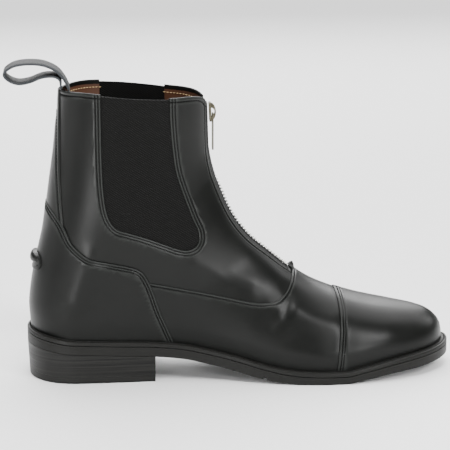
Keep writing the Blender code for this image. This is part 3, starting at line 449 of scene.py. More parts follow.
class Sheet:
    """Open surface in triangles, with a normal and a place down its section at each vertex."""

    def __init__(self, points, normals, downs, faces):
        self.points, self.normals, self.downs, self.faces = points, normals, downs, faces

    def compact(self, faces):
        used, index = np.unique(faces, return_inverse=True)
        return Sheet(self.points[used], self.normals[used], self.downs[used], index.reshape(faces.shape))

    def split(self, values):
        """The sheet with a vertex wherever values cross zero on an edge, and the values at its vertices."""
        v = values[self.faces]
        v = np.where(np.abs(v) < 1e-9, 0.0, v)
        crossing = (v.min(axis=1) < 0) & (v.max(axis=1) > 0)
        if not crossing.any():
            return self, values
        cut, cv = self.faces[crossing], v[crossing]
        positive, negative, zero = (cv > 0).sum(axis=1), (cv < 0).sum(axis=1), (cv == 0).sum(axis=1)
        made = [self.faces[~crossing]]
        pairs = ((0, 1), (1, 2), (2, 0))
        hits = [cut[cv[:, k] * cv[:, m] < 0][:, [k, m]] for k, m in pairs]
        a, b = np.unique(np.sort(np.concatenate(hits), axis=1), axis=0).T
        t = values[a] / (values[a] - values[b])
        share = t[:, None]
        points, normals = (of[a] * (1 - share) + of[b] * share for of in (self.points, self.normals))
        normals = normals / np.linalg.norm(normals, axis=1, keepdims=True)
        start = len(self.points)
        size = start + 1
        keys = a * size + b

        def at(p, q):
            low, high = np.minimum(p, q), np.maximum(p, q)
            return start + np.searchsorted(keys, low * size + high)

        for k in range(3):
            m, n = (k + 1) % 3, (k + 2) % 3
            lone = (zero == 0) & (
                ((cv[:, k] > 0) & (positive == 1)) | ((cv[:, k] < 0) & (negative == 1))
            )
            p, q, r = cut[lone, k], cut[lone, m], cut[lone, n]
            e, f = at(p, q), at(p, r)
            made += [np.stack((p, e, f), 1), np.stack((e, q, r), 1), np.stack((e, r, f), 1)]
            on_line = (zero == 1) & (cv[:, k] == 0)
            p, q, r = cut[on_line, k], cut[on_line, m], cut[on_line, n]
            e = at(q, r)
            made += [np.stack((p, q, e), 1), np.stack((p, e, r), 1)]
        downs = self.downs[a] * (1 - t) + self.downs[b] * t
        sheet = Sheet(np.concatenate((self.points, points)), np.concatenate((self.normals, normals)),
                      np.concatenate((self.downs, downs)), np.concatenate(made))
        return sheet, np.concatenate((values, np.zeros(len(a))))

    def trim(self, field):
        """What lies where field is positive."""
        values = field(self)
        near = values[self.faces].max(axis=1) > 0
        kept = self.compact(self.faces[near])
        kept, values = kept.split(field(kept))
        inside = values[kept.faces].mean(axis=1) > 0
        return kept.compact(kept.faces[inside])

    def ring(self, field, levels):
        """The same sheet with edges along lines of equal field."""
        sheet = self
        for level in levels:
            sheet, _ = sheet.split(field(sheet) - level)
        return sheet

    def lines(self, field, level):
        """Lines of equal field, as lists of (point, normal)."""
        values = field(self) - level
        values = np.where(np.abs(values) < 1e-9, 1e-9, values)
        v = values[self.faces]
        crossing = (v.min(axis=1) < 0) & (v.max(axis=1) > 0)
        links = {}
        places = {}
        for face, value in zip(self.faces[crossing], v[crossing]):
            ends = []
            for k in range(3):
                m = (k + 1) % 3
                if value[k] * value[m] < 0:
                    p, q = int(face[k]), int(face[m])
                    key = (min(p, q), max(p, q))
                    if key not in places:
                        a, b = key
                        t = values[a] / (values[a] - values[b])
                        places[key] = (
                            self.points[a] * (1 - t) + self.points[b] * t,
                            self.normals[a] * (1 - t) + self.normals[b] * t,
                        )
                    ends.append(key)
            for one, other in ((ends[0], ends[1]), (ends[1], ends[0])):
                links.setdefault(one, []).append(other)
        found = []
        left = set(links)
        starts = sorted(k for k in links if len(links[k]) == 1) + sorted(links)
        for start in starts:
            if start not in left:
                continue
            chain = [start]
            left.discard(start)
            while True:
                onward = [k for k in links[chain[-1]] if k in left]
                if not onward:
                    break
                chain.append(onward[0])
                left.discard(onward[0])
            if len(chain) > 3:
                if chain[0] in links[chain[-1]]:
                    chain.append(chain[0])
                found.append([places[k] for k in chain])
        return found


def evened(side, rows, downs, spacing):
    """One side of the last with its flank smoothed along the rows, where the sections turn up the back."""
    reach = EVENING / spacing
    taps = np.arange(-int(3 * reach), int(3 * reach) + 1)
    weights = np.exp(-0.5 * (taps / reach) ** 2)
    weights /= weights.sum()
    index = np.clip(np.arange(len(rows))[:, None] + taps, 0, len(rows) - 1)
    soft = np.einsum("rtdc,t->rdc", side[index], weights)
    along = ease((rows - EVEN_FROM) / EVEN_FADE) * ease(TOP_ROW - rows)
    across = ease((0.95 - downs) / 0.25) * ease(downs / 0.10)
    share = along[:, None] * across[None]
    return side + (soft - side) * share[:, :, None]


def last_sheet(first, last, spacing, down_steps, low=0.0):
    """The last's surface between two rows."""
    rows = even_rows(first, last, spacing)
    downs = cosine(down_steps)
    downs = downs[downs >= low - 1e-9]
    outer, inner = (evened(side, rows, downs, spacing) for side in last_points(rows, downs))
    points = np.concatenate((outer.reshape(-1, 3), inner.reshape(-1, 3)))
    place = np.tile(np.tile(downs, len(rows)), 2)
    wide = len(downs)
    i, j = np.meshgrid(np.arange(len(rows) - 1), np.arange(wide - 1), indexing="ij")
    a = (i * wide + j).ravel()
    quads = np.stack((a, a + wide, a + wide + 1, a + 1), axis=1)
    half = len(rows) * wide
    quads = np.concatenate((quads, (quads + half)[:, ::-1]))
    faces = np.concatenate((quads[:, [0, 1, 2]], quads[:, [0, 2, 3]]))
    _, first_use, same = np.unique(np.round(points * 1e7), axis=0, return_index=True, return_inverse=True)
    points, place = points[first_use], place[first_use]
    faces = same.ravel()[faces]
    real = (faces[:, 0] != faces[:, 1]) & (faces[:, 1] != faces[:, 2]) & (faces[:, 2] != faces[:, 0])
    faces = faces[real]
    normals = face_normals(points, faces)
    widest = int(np.argmin(points[:, 1]))
    if normals[widest, 1] > 0:
        faces, normals = faces[:, ::-1], -normals
    return Sheet(points, normals, place, faces)


def face_normals(points, faces):
    """Normal at each vertex, from the areas of the faces round it."""
    a, b, c = (points[faces[:, k]] for k in range(3))
    cross = np.cross(b - a, c - a)
    normals = np.zeros_like(points)
    for k in range(3):
        np.add.at(normals, faces[:, k], cross)
    return normals / np.maximum(np.linalg.norm(normals, axis=1, keepdims=True), 1e-20)


def catmull(points, per_span):
    """Smooth curve through points in two or three dimensions."""
    pts = np.array(points, float)
    found = []
    for i in range(len(pts) - 1):
        a, b = pts[max(i - 1, 0)], pts[i]
        c, d = pts[i + 1], pts[min(i + 2, len(pts) - 1)]
        for k in range(per_span):
            t = k / per_span
            found.append(0.5 * (2 * b + (c - a) * t + (2 * a - 5 * b + 4 * c - d) * t * t
                                + (3 * b - a - 3 * c + d) * t ** 3))
    found.append(pts[-1])
    return np.array(found)


def seam(points, per_span=6):
    return catmull([(x * LENGTH, z * COLLAR_HEIGHT) for x, z in points], per_span)


def away(places, line):
    """Distance of each side-view place from a line."""
    best = np.full(len(places), 1.0)
    for a, b in zip(line[:-1], line[1:]):
        along = b - a
        size = float(along @ along)
        if size < 1e-16:
            continue
        t = np.clip(((places - a) @ along) / size, 0.0, 1.0)
        best = np.minimum(best, np.linalg.norm(places - a - t[:, None] * along, axis=1))
    return best


def within(places, outline):
    """Whether each side-view place lies in a closed outline."""
    x, z = places[:, 0], places[:, 1]
    odd = np.zeros(len(places), bool)
    for (ax, az), (bx, bz) in zip(outline, np.roll(outline, -1, axis=0)):
        if az == bz:
            continue
        between = (az > z) != (bz > z)
        odd ^= between & (x < (bx - ax) * (z - az) / (bz - az) + ax)
    return odd


def side_view(sheet):
    return sheet.points[:, [0, 2]]


def region(outline):
    """Field that is the depth inside a side-view outline, and negative outside it."""
    outline = np.array(outline)
    closed = np.concatenate((outline, outline[:1]))

    def field(sheet):
        places = side_view(sheet)
        return np.where(within(places, outline), 1.0, -1.0) * away(places, closed)

    return field


def outside(field):
    return lambda sheet: -field(sheet)


def above_welt(sheet):
    x = sheet.points[:, 0]
    return sheet.points[:, 2] - welt_top(x) + MARGIN


def edge_profile(depth, radius):
    """How far below the face a rounded edge lies, at a depth inside it."""
    share = np.clip(depth / radius, 0.0, 1.0)
    return radius * (1 - np.sqrt(np.clip(1 - (1 - share) ** 2, 0.0, 1.0)))


def trough(depth, middle, width, deep):
    return deep * np.exp(-((depth - middle) / width) ** 2)


def placed(points):
    """Points of the tables' frame in the part's frame."""
    return np.asarray(points) - np.array((HEEL_LENGTH / 2, 0.0, 0.0))


def linked(name, data):
    """Object in the scene with this mesh, light or camera."""
    obj = bpy.data.objects.new(name, data)
    bpy.context.scene.collection.objects.link(obj)
    return obj


def meshed(name, bm, materials, sharp=40):
    """Object with the mesh that bm holds, sharp where faces meet at more than some degrees."""
    mesh = bpy.data.meshes.new(name)
    bm.to_mesh(mesh)
    bm.free()
    for material in materials:
        mesh.materials.append(material)
    mesh.set_sharp_from_angle(angle=math.radians(sharp))
    return linked(name, mesh)


def new_mesh(name, points, faces, materials, slots=None, sharp=40, merge=0.00004, shaded_by=None):
    """Object with this mesh, in the part's frame, its doubles merged."""
    bm = bmesh.new()
    # Optional vertex layer of painted shade and highlight, read by the leather's material
    layer = bm.verts.layers.float.new("shade_and_highlight") if shaded_by is not None else None
    verts = [bm.verts.new(p) for p in placed(points)]
    if shaded_by is not None:
        for vert, amount in zip(verts, shaded_by):
            vert[layer] = float(amount)
    for k, face in enumerate(faces):
        try:
            made = bm.faces.new([verts[i] for i in face])
        except ValueError:
            continue
        made.smooth = True
        if slots is not None:
            made.material_index = int(slots[k])
    bmesh.ops.remove_doubles(bm, verts=bm.verts, dist=merge)
    bmesh.ops.dissolve_degenerate(bm, edges=bm.edges, dist=1e-6)
    return meshed(name, bm, materials, sharp)


def shell(name, sheet, height, low, materials, slots=(0, 0, 0), merge=0.00004, shaded_by=None):
    """Closed leather piece: top face at height above the form, underside at low, and a wall round the edge.

    slots gives the material of the top, the underside and the wall.
    """
    count = len(sheet.points)
    height = np.broadcast_to(np.asarray(height, float), (count,))
    low = np.broadcast_to(np.asarray(low, float), (count,))
    top = sheet.points + sheet.normals * height[:, None]
    under = sheet.points + sheet.normals * low[:, None]
    edges = np.concatenate([sheet.faces[:, [0, 1]], sheet.faces[:, [1, 2]], sheet.faces[:, [2, 0]]])
    key = np.sort(edges, axis=1)
    _, index, uses = np.unique(key, axis=0, return_index=True, return_counts=True)
    rim = edges[index[uses == 1]]
    faces = [tuple(f) for f in sheet.faces]
    faces += [tuple(f[::-1] + count) for f in sheet.faces]
    faces += [(a, a + count, b + count, b) for a, b in rim]
    parts = [slots[0]] * len(sheet.faces) + [slots[1]] * len(sheet.faces) + [slots[2]] * len(rim)
    # The layer of painted shade and highlight is zero on the underside
    if shaded_by is not None:
        shaded_by = np.concatenate((shaded_by, np.zeros(count)))
    return new_mesh(name, np.concatenate((top, under)), faces, materials, parts, merge=merge, shaded_by=shaded_by)


# Materials


def linear(hex_code):
    """Linear colour from an sRGB hex code."""
    values = [int(hex_code[i:i + 2], 16) / 255 for i in (1, 3, 5)]
    return tuple(v / 12.92 if v <= 0.04045 else ((v + 0.055) / 1.055) ** 2.4 for v in values) + (1.0,)


def add(tree, kind, settings=None, **links):
    """A node with its properties or socket values, joined to the sockets that feed it."""
    made = tree.nodes.new(kind)
    for name, value in (settings or {}).items():
        if name in made.inputs:
            made.inputs[name].default_value = value
        else:
            setattr(made, name, value)
    for name, source in links.items():
        tree.links.new(source, made.inputs[name.replace("_", " ")])
    return made


class Finish:
    """A node material with its Principled shader."""

    def __init__(self, name, colour, roughness, **sockets):
        self.material = bpy.data.materials.new(name)
        self.material.use_nodes = True
        self.tree = self.material.node_tree
        self.shader = self.tree.nodes["Principled BSDF"]
        self.shader.inputs["Base Color"].default_value = linear(colour)
        self.shader.inputs["Roughness"].default_value = roughness
        for socket, value in sockets.items():
            self.shader.inputs[socket.replace("_", " ")].default_value = value
        self.material.diffuse_color = linear(colour)

    def node(self, kind, settings=None, **links):
        return add(self.tree, kind, settings, **links)

    def link(self, source, socket):
        self.tree.links.new(source, self.shader.inputs[socket])

    def place(self, scale=(1, 1, 1), turn=(0, 0, 0)):
        """Object coordinates, turned and scaled."""
        coordinates = self.node("ShaderNodeTexCoord")
        mapping = self.node("ShaderNodeMapping", {"Scale": scale, "Rotation": turn},
                            Vector=coordinates.outputs["Object"])
        return mapping.outputs["Vector"]

    def noise(self, scale, detail=2.0, stretch=(1, 1, 1), roughness=0.5):
        settings = {"Scale": scale, "Detail": detail, "Roughness": roughness}
        return self.node("ShaderNodeTexNoise", settings, Vector=self.place(stretch)).outputs["Fac"]

    def ribs(self, bands, pitch, place=None, distortion=0.0):
        """Even ribs across one axis."""
        settings = {"bands_direction": bands, "Scale": WAVES_PER_UNIT / pitch, "Distortion": distortion}
        return self.node("ShaderNodeTexWave", settings, Vector=place or self.place()).outputs["Fac"]

    def colours(self, factor, first, second):
        """Base colour between two hex codes. The first may be a socket."""
        mix = self.node("ShaderNodeMix", {"data_type": "RGBA"})
        if isinstance(first, str):
            mix.inputs[MIX_A].default_value = linear(first)
        else:
            self.tree.links.new(first, mix.inputs[MIX_A])
        mix.inputs[MIX_B].default_value = linear(second)
        self.tree.links.new(factor, mix.inputs[0])
        self.link(mix.outputs[MIX_RESULT], "Base Color")
        return mix.outputs[MIX_RESULT]

    def spread(self, value, low, high, out_low, out_high):
        """A value from one range to another."""
        settings = {"From Min": low, "From Max": high, "To Min": out_low, "To Max": out_high}
        return self.node("ShaderNodeMapRange", settings, Value=value).outputs["Result"]

    def gloss(self, value, low, high):
        """Roughness between two values, after the middle of a noise."""
        self.link(self.spread(value, 0.3, 0.7, low, high), "Roughness")

    def bumps(self, *layers):
        """Bumps of (height, strength, distance), each on the one before."""
        normal = {}
        for height, strength, distance in layers:
            settings = {"Strength": strength, "Distance": distance}
            bump = self.node("ShaderNodeBump", settings, Height=height, **normal)
            normal = {"Normal": bump.outputs["Normal"]}
        self.link(normal["Normal"], "Normal")

    def maths(self, operation, first, second=None):
        made = self.node("ShaderNodeMath", {"operation": operation})
        for socket, source in zip(made.inputs, (first, second)):
            if source is not None:
                self.tree.links.new(source, socket)
        return made.outputs[0]


def calf_leather():
    """Aniline-dyed box calf, plated smooth: dark, with a soft shine, a fine grain and slight clouding."""
    f = Finish("box_calf_black", "#101110", 0.33, IOR=1.48, Specular_IOR_Level=0.17)
    pores = f.node("ShaderNodeTexVoronoi", {"Scale": 1450.0, "Randomness": 1.0}, Vector=f.place())
    clouds = f.noise(38.0, 3.0, roughness=0.55)
    # Vertex layer of painted shade and highlight, made where the leather pieces are built
    shade_and_highlight = f.node("ShaderNodeAttribute", {"attribute_name": "shade_and_highlight"}).outputs["Fac"]
    dyed = f.colours(clouds, "#080908", "#0e0f0d")
    # Painted highlight: lighter on the shoulders beside the stitch rows and along the rounded edges
    highlit = f.colours(f.spread(shade_and_highlight, 0.0, 0.8, 0.0, 1.0), dyed, "#202220")
    # Painted shade: darker in the stitch troughs
    f.colours(f.spread(shade_and_highlight, 0.0, -1.0, 0.0, 0.4), highlit, "#030303")
    f.gloss(clouds, 0.33, 0.40)
    f.bumps((pores.outputs["Distance"], 0.10, 0.00012), (f.noise(2600.0, 3.0), 0.08, 0.0001))
    return f.material


def edge_ink_and_shade():
    """Cut edge of the leather, dyed and left matt, and darker than the leather to paint the shade along its
    edge: the darkest line along every overlay.
    """
    f = Finish("edge_dye_and_shade_black", "#040404", 0.7, IOR=1.45, Specular_IOR_Level=0.15)
    f.colours(f.noise(2200.0), "#020202", "#0a0a09")
    return f.material


def lining_leather():
    """Vegetable-tanned lining leather: warm tan, unfinished, with a soft cloud and fine pores."""
    f = Finish("lining_leather_tan", "#6f3a1c", 0.56, IOR=1.45)
    f.colours(f.noise(60.0, 4.0), "#3d2213", "#52311c")
    f.bumps((f.noise(1800.0), 0.15, 0.0002))
    return f.material


def gore_elastic():
    """Covered elastic: rubber threads in a black weave, which stand up as fine diagonal ribs."""
    f = Finish("gore_elastic_black", "#080808", 0.85, IOR=1.4, Specular_IOR_Level=0.15, Sheen_Weight=0.02,
               Sheen_Roughness=0.5)
    ribs = f.ribs("Z", GORE_PITCH, f.place(turn=(0, GORE_SLOPE, 0)))
    f.colours(ribs, "#030303", "#121211")
    f.bumps((ribs, 0.8, 0.0004), (f.ribs("X", 0.0007, distortion=0.3), 0.3, 0.0001))
    return f.material


def sole_rubber():
    """Rubber sole edge, buffed and inked: charcoal, satin, with a faint sanding direction."""
    f = Finish("nitrile_rubber_edge", "#141412", 0.46, IOR=1.5, Specular_IOR_Level=0.14)
    drawn = f.noise(1.0, 3.0, (30, 30, 1300))
    f.colours(drawn, "#0f0f0e", "#1a1a18")
    f.gloss(drawn, 0.42, 0.52)
    f.bumps((drawn, 0.18, 0.0001))
    return f.material


def heel_stack():
    """Stacked heel, sanded and inked: thin lifts show as fine level lines in a satin charcoal."""
    f = Finish("stacked_heel_ink", "#181715", 0.44, IOR=1.5, Specular_IOR_Level=0.18)
    lifts = f.noise(1.0, 5.0, (9, 9, 1000), 0.7)
    lines = f.noise(1.0, 2.0, (14, 14, 2600))
    f.colours(f.spread(lifts, 0.36, 0.64, 0.0, 1.0), "#040404", "#1e1e1c")
    f.gloss(lines, 0.36, 0.52)
    f.bumps((lifts, 0.6, 0.00025), (lines, 0.2, 0.00008))
    return f.material


def thread(name, dark, light, shine):
    """Bonded nylon sewing thread: twisted, slightly shiny."""
    f = Finish(name, dark, 0.6, IOR=1.5, Specular_IOR_Level=shine)
    twist = f.ribs("DIAGONAL", 0.00035)
    f.colours(twist, dark, light)
    f.bumps((twist, 0.3, 0.0001))
    return f.material


def webbing():
    """Woven polyester tape: charcoal, a fine even weave and paler selvedges."""
    f = Finish("loop_webbing_charcoal", "#191b1c", 0.7, IOR=1.45, Specular_IOR_Level=0.3, Sheen_Weight=0.05,
               Sheen_Roughness=0.4)
    uv = f.node("ShaderNodeUVMap", {"uv_map": "weave"}).outputs["UV"]
    weave = f.maths("MULTIPLY", f.ribs("X", 0.0009, uv, 0.4), f.ribs("Y", 0.0011, uv, 0.4))
    offset = f.maths("ABSOLUTE", f.node("ShaderNodeSeparateXYZ", Vector=uv).outputs["Y"])
    selvedge = f.spread(offset, LOOP_WIDTH * 0.43, LOOP_WIDTH * 0.48, 0.0, 0.8)
    f.colours(f.maths("MAXIMUM", weave, selvedge), "#0d0e0f", "#303336")
    f.bumps((weave, 0.7, 0.0003))
    return f.material


def zip_tape():
    """Woven polyester zip tape: black, matt, ribbed across."""
    f = Finish("zip_tape_black", "#090909", 0.85, IOR=1.4, Sheen_Weight=0.02)
    ribs = f.ribs("Z", 0.0009)
    f.colours(ribs, "#050505", "#121211")
    f.bumps((ribs, 0.5, 0.0003))
    return f.material


def plated(name, colour_low, colour_high, roughness):
    """Cast or pressed brass with a plating: metallic, worn a little unevenly."""
    f = Finish(name, colour_high, roughness, Metallic=1.0)
    spots = f.noise(420.0, 4.0)
    f.colours(spots, colour_low, colour_high)
    f.gloss(spots, roughness - 0.06, roughness + 0.1)
    return f.material


calf = calf_leather()
lining = lining_leather()
cut_edge_and_shade = edge_ink_and_shade()
elastic = gore_elastic()
edge_rubber = sole_rubber()
heel_ink = heel_stack()
black_thread = thread("thread_black", "#030303", "#0b0b0a", 0.12)
cream_thread = thread("thread_cream", "#a98a5e", "#d2b98e", 0.4)
loop_weave = webbing()
tape_weave = zip_tape()
teeth_metal = plated("zip_teeth_nickel", "#a9a9a3", "#dededa", 0.26)
slider_metal = plated("slider_antique_brass", "#2a2822", "#6b6656", 0.36)


def row_tree(name, pitch, kind, settings, scale, upright, material):
    """Geometry Nodes that lay copies of a small form along the given lines, one to a pitch."""
    tree = bpy.data.node_groups.new(name, "GeometryNodeTree")
    for way in ("INPUT", "OUTPUT"):
        tree.interface.new_socket("Geometry", in_out=way, socket_type="NodeSocketGeometry")
    given = add(tree, "NodeGroupInput")
    line = add(tree, "GeometryNodeMeshToCurve", Mesh=given.outputs["Geometry"])
    steps = {"mode": "LENGTH", "Length": pitch}
    even = add(tree, "GeometryNodeResampleCurve", steps, Curve=line.outputs["Curve"])
    form = add(tree, kind, settings)
    if upright:
        soft = {"Level": 1, "Edge Crease": TOOTH_CREASE}
        form = add(tree, "GeometryNodeSubdivisionSurface", soft, Mesh=form.outputs["Mesh"])
    sized = add(tree, "GeometryNodeTransform", {"Scale": scale}, Geometry=form.outputs["Mesh"])
    align = {"axis": "Z", "pivot_axis": "Y" if upright else "AUTO"}
    tangent = add(tree, "GeometryNodeInputTangent").outputs["Tangent"]
    turn = add(tree, "FunctionNodeAlignRotationToVector", align, Vector=tangent)
    row = add(tree, "GeometryNodeInstanceOnPoints", Points=even.outputs["Curve"],
              Instance=sized.outputs["Geometry"], Rotation=turn.outputs["Rotation"])
    real = add(tree, "GeometryNodeRealizeInstances", Geometry=row.outputs["Instances"])
    smooth = add(tree, "GeometryNodeSetShadeSmooth", Geometry=real.outputs["Geometry"])
    finish = add(tree, "GeometryNodeSetMaterial", {"Material": material}, Geometry=smooth.outputs["Geometry"])
    add(tree, "NodeGroupOutput", Geometry=finish.outputs["Geometry"])
    return tree


def grown(name, lines, tree):
    """Plain mesh of what a tree grows along lines of points."""
    verts, edges = [], []
    for line in lines:
        start = len(verts)
        verts += [tuple(p) for p in placed(line)]
        edges += [(start + k, start + k + 1) for k in range(len(line) - 1)]
    mesh = bpy.data.meshes.new(name + "_lines")
    mesh.from_pydata(verts, edges, [])
    source = linked(name + "_lines", mesh)
    source.modifiers.new("grow", "NODES").node_group = tree
    bpy.context.view_layer.update()
    made = bpy.data.meshes.new_from_object(source.evaluated_get(bpy.context.evaluated_depsgraph_get()))
    bpy.data.objects.remove(source)
    made.name = name
    return linked(name, made)


def stitched(name, colour, material):
    """Stitches of one colour: capsules laid end to end with a gap between them."""
    ball = {"Segments": 6, "Rings": 5, "Radius": 0.5}
    pitch, length = STITCHES[colour]
    size = (THREAD_WIDTH, THREAD_WIDTH, length)
    tree = row_tree("rows_" + colour, pitch, "GeometryNodeMeshUVSphere", ball, size, False, material)
    return grown(name, stitch_rows[colour], tree)


stitch_rows = {"black": [], "cream": []}

top_line = seam(TOP_LINE)
cap_edge = seam(CAP_EDGE)
vamp_edge = seam(VAMP_EDGE)
counter_edge = seam(COUNTER_EDGE)
gore_edge = seam(GORE_EDGE)
stay_edge = seam(STAY_EDGE)


def below_top(sheet):
    """Depth below the top line."""
    places = side_view(sheet)
    over = np.interp(places[:, 0], top_line[:, 0], top_line[:, 1])
    return np.where(places[:, 1] < over, 1.0, -1.0) * away(places, top_line)


gore_region = region(gore_edge)


def off_centre(sheet):
    """Place across the boot from its middle line, positive on the inner side."""
    return sheet.points[:, 1] - centre(sheet.points[:, 0])


def zip_region(sheet):
    """Depth inside the slot for the zip."""
    across = np.abs(off_centre(sheet))
    ahead = ZIP_END_SHARE * LENGTH + CLEARANCE - sheet.points[:, 0]
    front = (FRONT_SHARE - sheet.downs) * 0.05
    return np.minimum(np.minimum(ZIP_WIDTH / 2 + CLEARANCE - across, ahead), front)


whole = last_sheet(0.0, TOP_ROW, GRID, GRID_DOWN).trim(above_welt)


def beside(line, closing):
    """Signed distance to a seam, positive on the side that the closing points lie on."""
    outline = np.concatenate((line, np.array(closing) * (LENGTH, COLLAR_HEIGHT)))

    def field(sheet):
        places = side_view(sheet)
        return np.where(within(places, outline), 1.0, -1.0) * away(places, line)

    return field


in_counter = beside(counter_edge, ((-0.1, 0.06), (-0.1, 0.672)))
in_cap = beside(cap_edge, ((0.713, -0.3), (1.1, -0.3), (1.1, 0.5), (0.713, 0.5)))
below_seam = beside(vamp_edge, ((1.1, 0.42), (1.1, -0.3), (0.1, -0.3), (0.1, 0.366)))
in_stay = beside(stay_edge, ((0.094, 0.3), (-0.1, 0.3), (-0.1, 1.06)))
out_of_counter, out_of_cap = outside(in_counter), outside(in_cap)
out_of_gore, out_of_zip = outside(gore_region), outside(zip_region)

# Soft creases and swellings of the worn leather in the side view: line, half width, depth
CREASES = (
    (((0.600, 0.318), (0.608, 0.285), (0.604, 0.250), (0.592, 0.215), (0.574, 0.185)), 0.0028, 0.00055),
    (((0.625, 0.240), (0.660, 0.215), (0.700, 0.200)), 0.0060, -0.00080),
    (((0.620, 0.150), (0.660, 0.135), (0.700, 0.125)), 0.0070, 0.00060),
    (((0.560, 0.262), (0.580, 0.245), (0.586, 0.220)), 0.0030, -0.00050),
    (((0.500, 0.400), (0.465, 0.370), (0.425, 0.350)), 0.0080, 0.00040),
    (((0.150, 0.440), (0.132, 0.370), (0.115, 0.290)), 0.0085, -0.00210),
    (((0.395, 0.405), (0.450, 0.365), (0.520, 0.330)), 0.0080, -0.00110),
    (((0.745, 0.205), (0.790, 0.190), (0.835, 0.170)), 0.0095, -0.00080),
)


def worn(sheet):
    """Height of the creases at each vertex, fading over the ridge."""
    places = side_view(sheet)
    total = np.zeros(len(places))
    fade = ease(sheet.downs / 0.06)
    for points, width, deep in CREASES:
        total -= trough(away(places, seam(points)), 0.0, width, deep) * fade
    return total


def leather(name, sheet, face, rounded, rows, low=0.0, pressed=(), materials=None, slots=(0, 0, 1)):
    """Leather piece over the form: rounded edges along some fields, rows of stitches along others."""
    for field in rounded:
        sheet = sheet.ring(field, EDGE_RINGS)
    for field, depth in rows:
        sheet = sheet.ring(field, [depth + k for k in (-SHOULDER, -ROW_WIDTH, 0.0, ROW_WIDTH, SHOULDER)])
    drop = np.zeros(len(sheet.points))
    for field in rounded:
        drop = np.maximum(drop, edge_profile(field(sheet), min(ROUND, face) if low == 0.0 else ROUND))
    rise = face - drop + worn(sheet)
    # Painted shade and highlight for the leather's colour: lighter along the rounded edges and on the
    # shoulders beside each row, darker in the stitch troughs
    shade_and_highlight = np.zeros(len(sheet.points))
    for field in rounded:
        shade_and_highlight += 0.5 * trough(field(sheet), ROUND, ROW_WIDTH, 1.0)
    for field, depth in rows:
        dip = trough(field(sheet), depth, 0.00042, 1.0)
        shoulders = sum(trough(field(sheet), depth + k, ROW_WIDTH, 1.0) for k in (-SHOULDER, SHOULDER))
        rise += SHOULDER_RISE * shoulders - ROW_DEPTH * dip
        shade_and_highlight += 0.6 * shoulders - 1.0 * dip
    for field, width, deep in pressed:
        rise -= trough(field(sheet), 0.0, width, deep)
    for field, depth in rows:
        for line in sheet.lines(field, depth):
            points = clear_of_top(np.array([p + n * (face - ROW_SEAT) for p, n in line]))
            if len(points) > 3 and run(points)[-1] > SHORTEST_ROW:
                stitch_rows["black"].append(points)
    under = low if low == 0.0 else low + 0.4 * drop
    return shell(name, sheet, rise, under, materials or (calf, cut_edge_and_shade), slots, shaded_by=shade_and_highlight), sheet


def run(points):
    """Length along a line of points, at each of them."""
    return np.concatenate(([0.0], np.cumsum(np.linalg.norm(np.diff(points, axis=0), axis=1))))


def clear_of_top(points):
    """The points that lie far enough below the top line for a stitch."""
    over = np.interp(points[:, 0], top_line[:, 0], top_line[:, 1])
    return points[over - points[:, 2] > 0.0016]


def build_upper():
    sheet = whole.trim(below_top).trim(out_of_gore).trim(out_of_zip)
    rows = ((below_top, 0.0028), (out_of_gore, 0.0017), (out_of_gore, 0.0036), (out_of_zip, 0.0024))
    obj, sheet = leather("quarters", sheet, 0.0, (below_top, out_of_gore, out_of_zip), rows, -WALL,
                         materials=(calf, lining, cut_edge_and_shade), slots=(0, 1, 2))
    for polygon in obj.data.polygons:
        if polygon.material_index == 1:
            x, _, z = polygon.center
            over = float(np.interp(x + HEEL_LENGTH / 2, top_line[:, 0], top_line[:, 1]))
            if over - z < LINING_BAND:
                polygon.material_index = 0
    for line in sheet.lines(below_top, LINING_ROW):
        stitch_rows["cream"].append(np.array([p - n * (WALL + 0.0001) for p, n in line]))
    return obj


def build_gore(name, sign):
    def one_side(sheet):
        return sign * off_centre(sheet)

    def lowered(sheet):
        return below_top(sheet) - GORE_DROP

    sheet = whole.trim(gore_region).trim(lowered).trim(one_side)
    sheet = sheet.ring(lowered, EDGE_RINGS).ring(gore_region, (0.0008, GORE_EDGE_BAND))
    tucked = 0.00035 * (1 - ease(gore_region(sheet) / GORE_EDGE_BAND))
    rise = -GORE_SINK - edge_profile(lowered(sheet), 0.0006) - tucked
    return shell(name, sheet, rise, rise - GORE_THICKNESS, (elastic,))


def build_overlay(name, fields, face, rounded, rows, pressed=()):
    """Leather laid over the upper where all the fields are positive."""
    sheet = whole
    for field in fields:
        sheet = sheet.trim(field)
    return leather(name, sheet, face, rounded, rows, pressed=pressed)[0]


def build_spur_rest():
    x = float(back["x"](SPUR_HEIGHT)) - COUNTER_FACE
    half = SPUR_PATCH / 2
    bend = [(x + SPUR_DEPTH * math.cos(a), SPUR_HEIGHT + half * math.sin(a))
            for a in (math.pi * (k / 16 - 0.5) for k in range(17))]
    inside = region([(x - 0.02, SPUR_HEIGHT - half)] + bend + [(x - 0.02, SPUR_HEIGHT + half)])
    sheet = last_sheet(*SPUR_ROWS, SPUR_GRID, SPUR_STEPS, low=0.86).trim(inside)
    sheet = sheet.ring(inside, EDGE_RINGS)
    height = sheet.points[:, 2] - SPUR_HEIGHT - SPUR_ROLL_RISE
    round_part = 1 - (2 * height / SPUR_ROLL_HEIGHT) ** 2 - (2 * sheet.points[:, 1] / SPUR_ROLL_WIDTH) ** 2
    roll = SPUR_ROLL_REACH * np.sqrt(np.clip(round_part, 0, 1)) ** 0.8
    face = COUNTER_FACE + SPUR_THICKNESS
    rise = face - edge_profile(inside(sheet), ROUND) + roll
    for line in sheet.lines(inside, 0.0015):
        stitch_rows["black"].append(np.array([p + n * (face - 0.0001) for p, n in line
                                              if p[2] < SPUR_HEIGHT - 0.002]))
    return shell("spur_rest_leather", sheet, rise, COUNTER_FACE, (calf,), merge=0.00002)


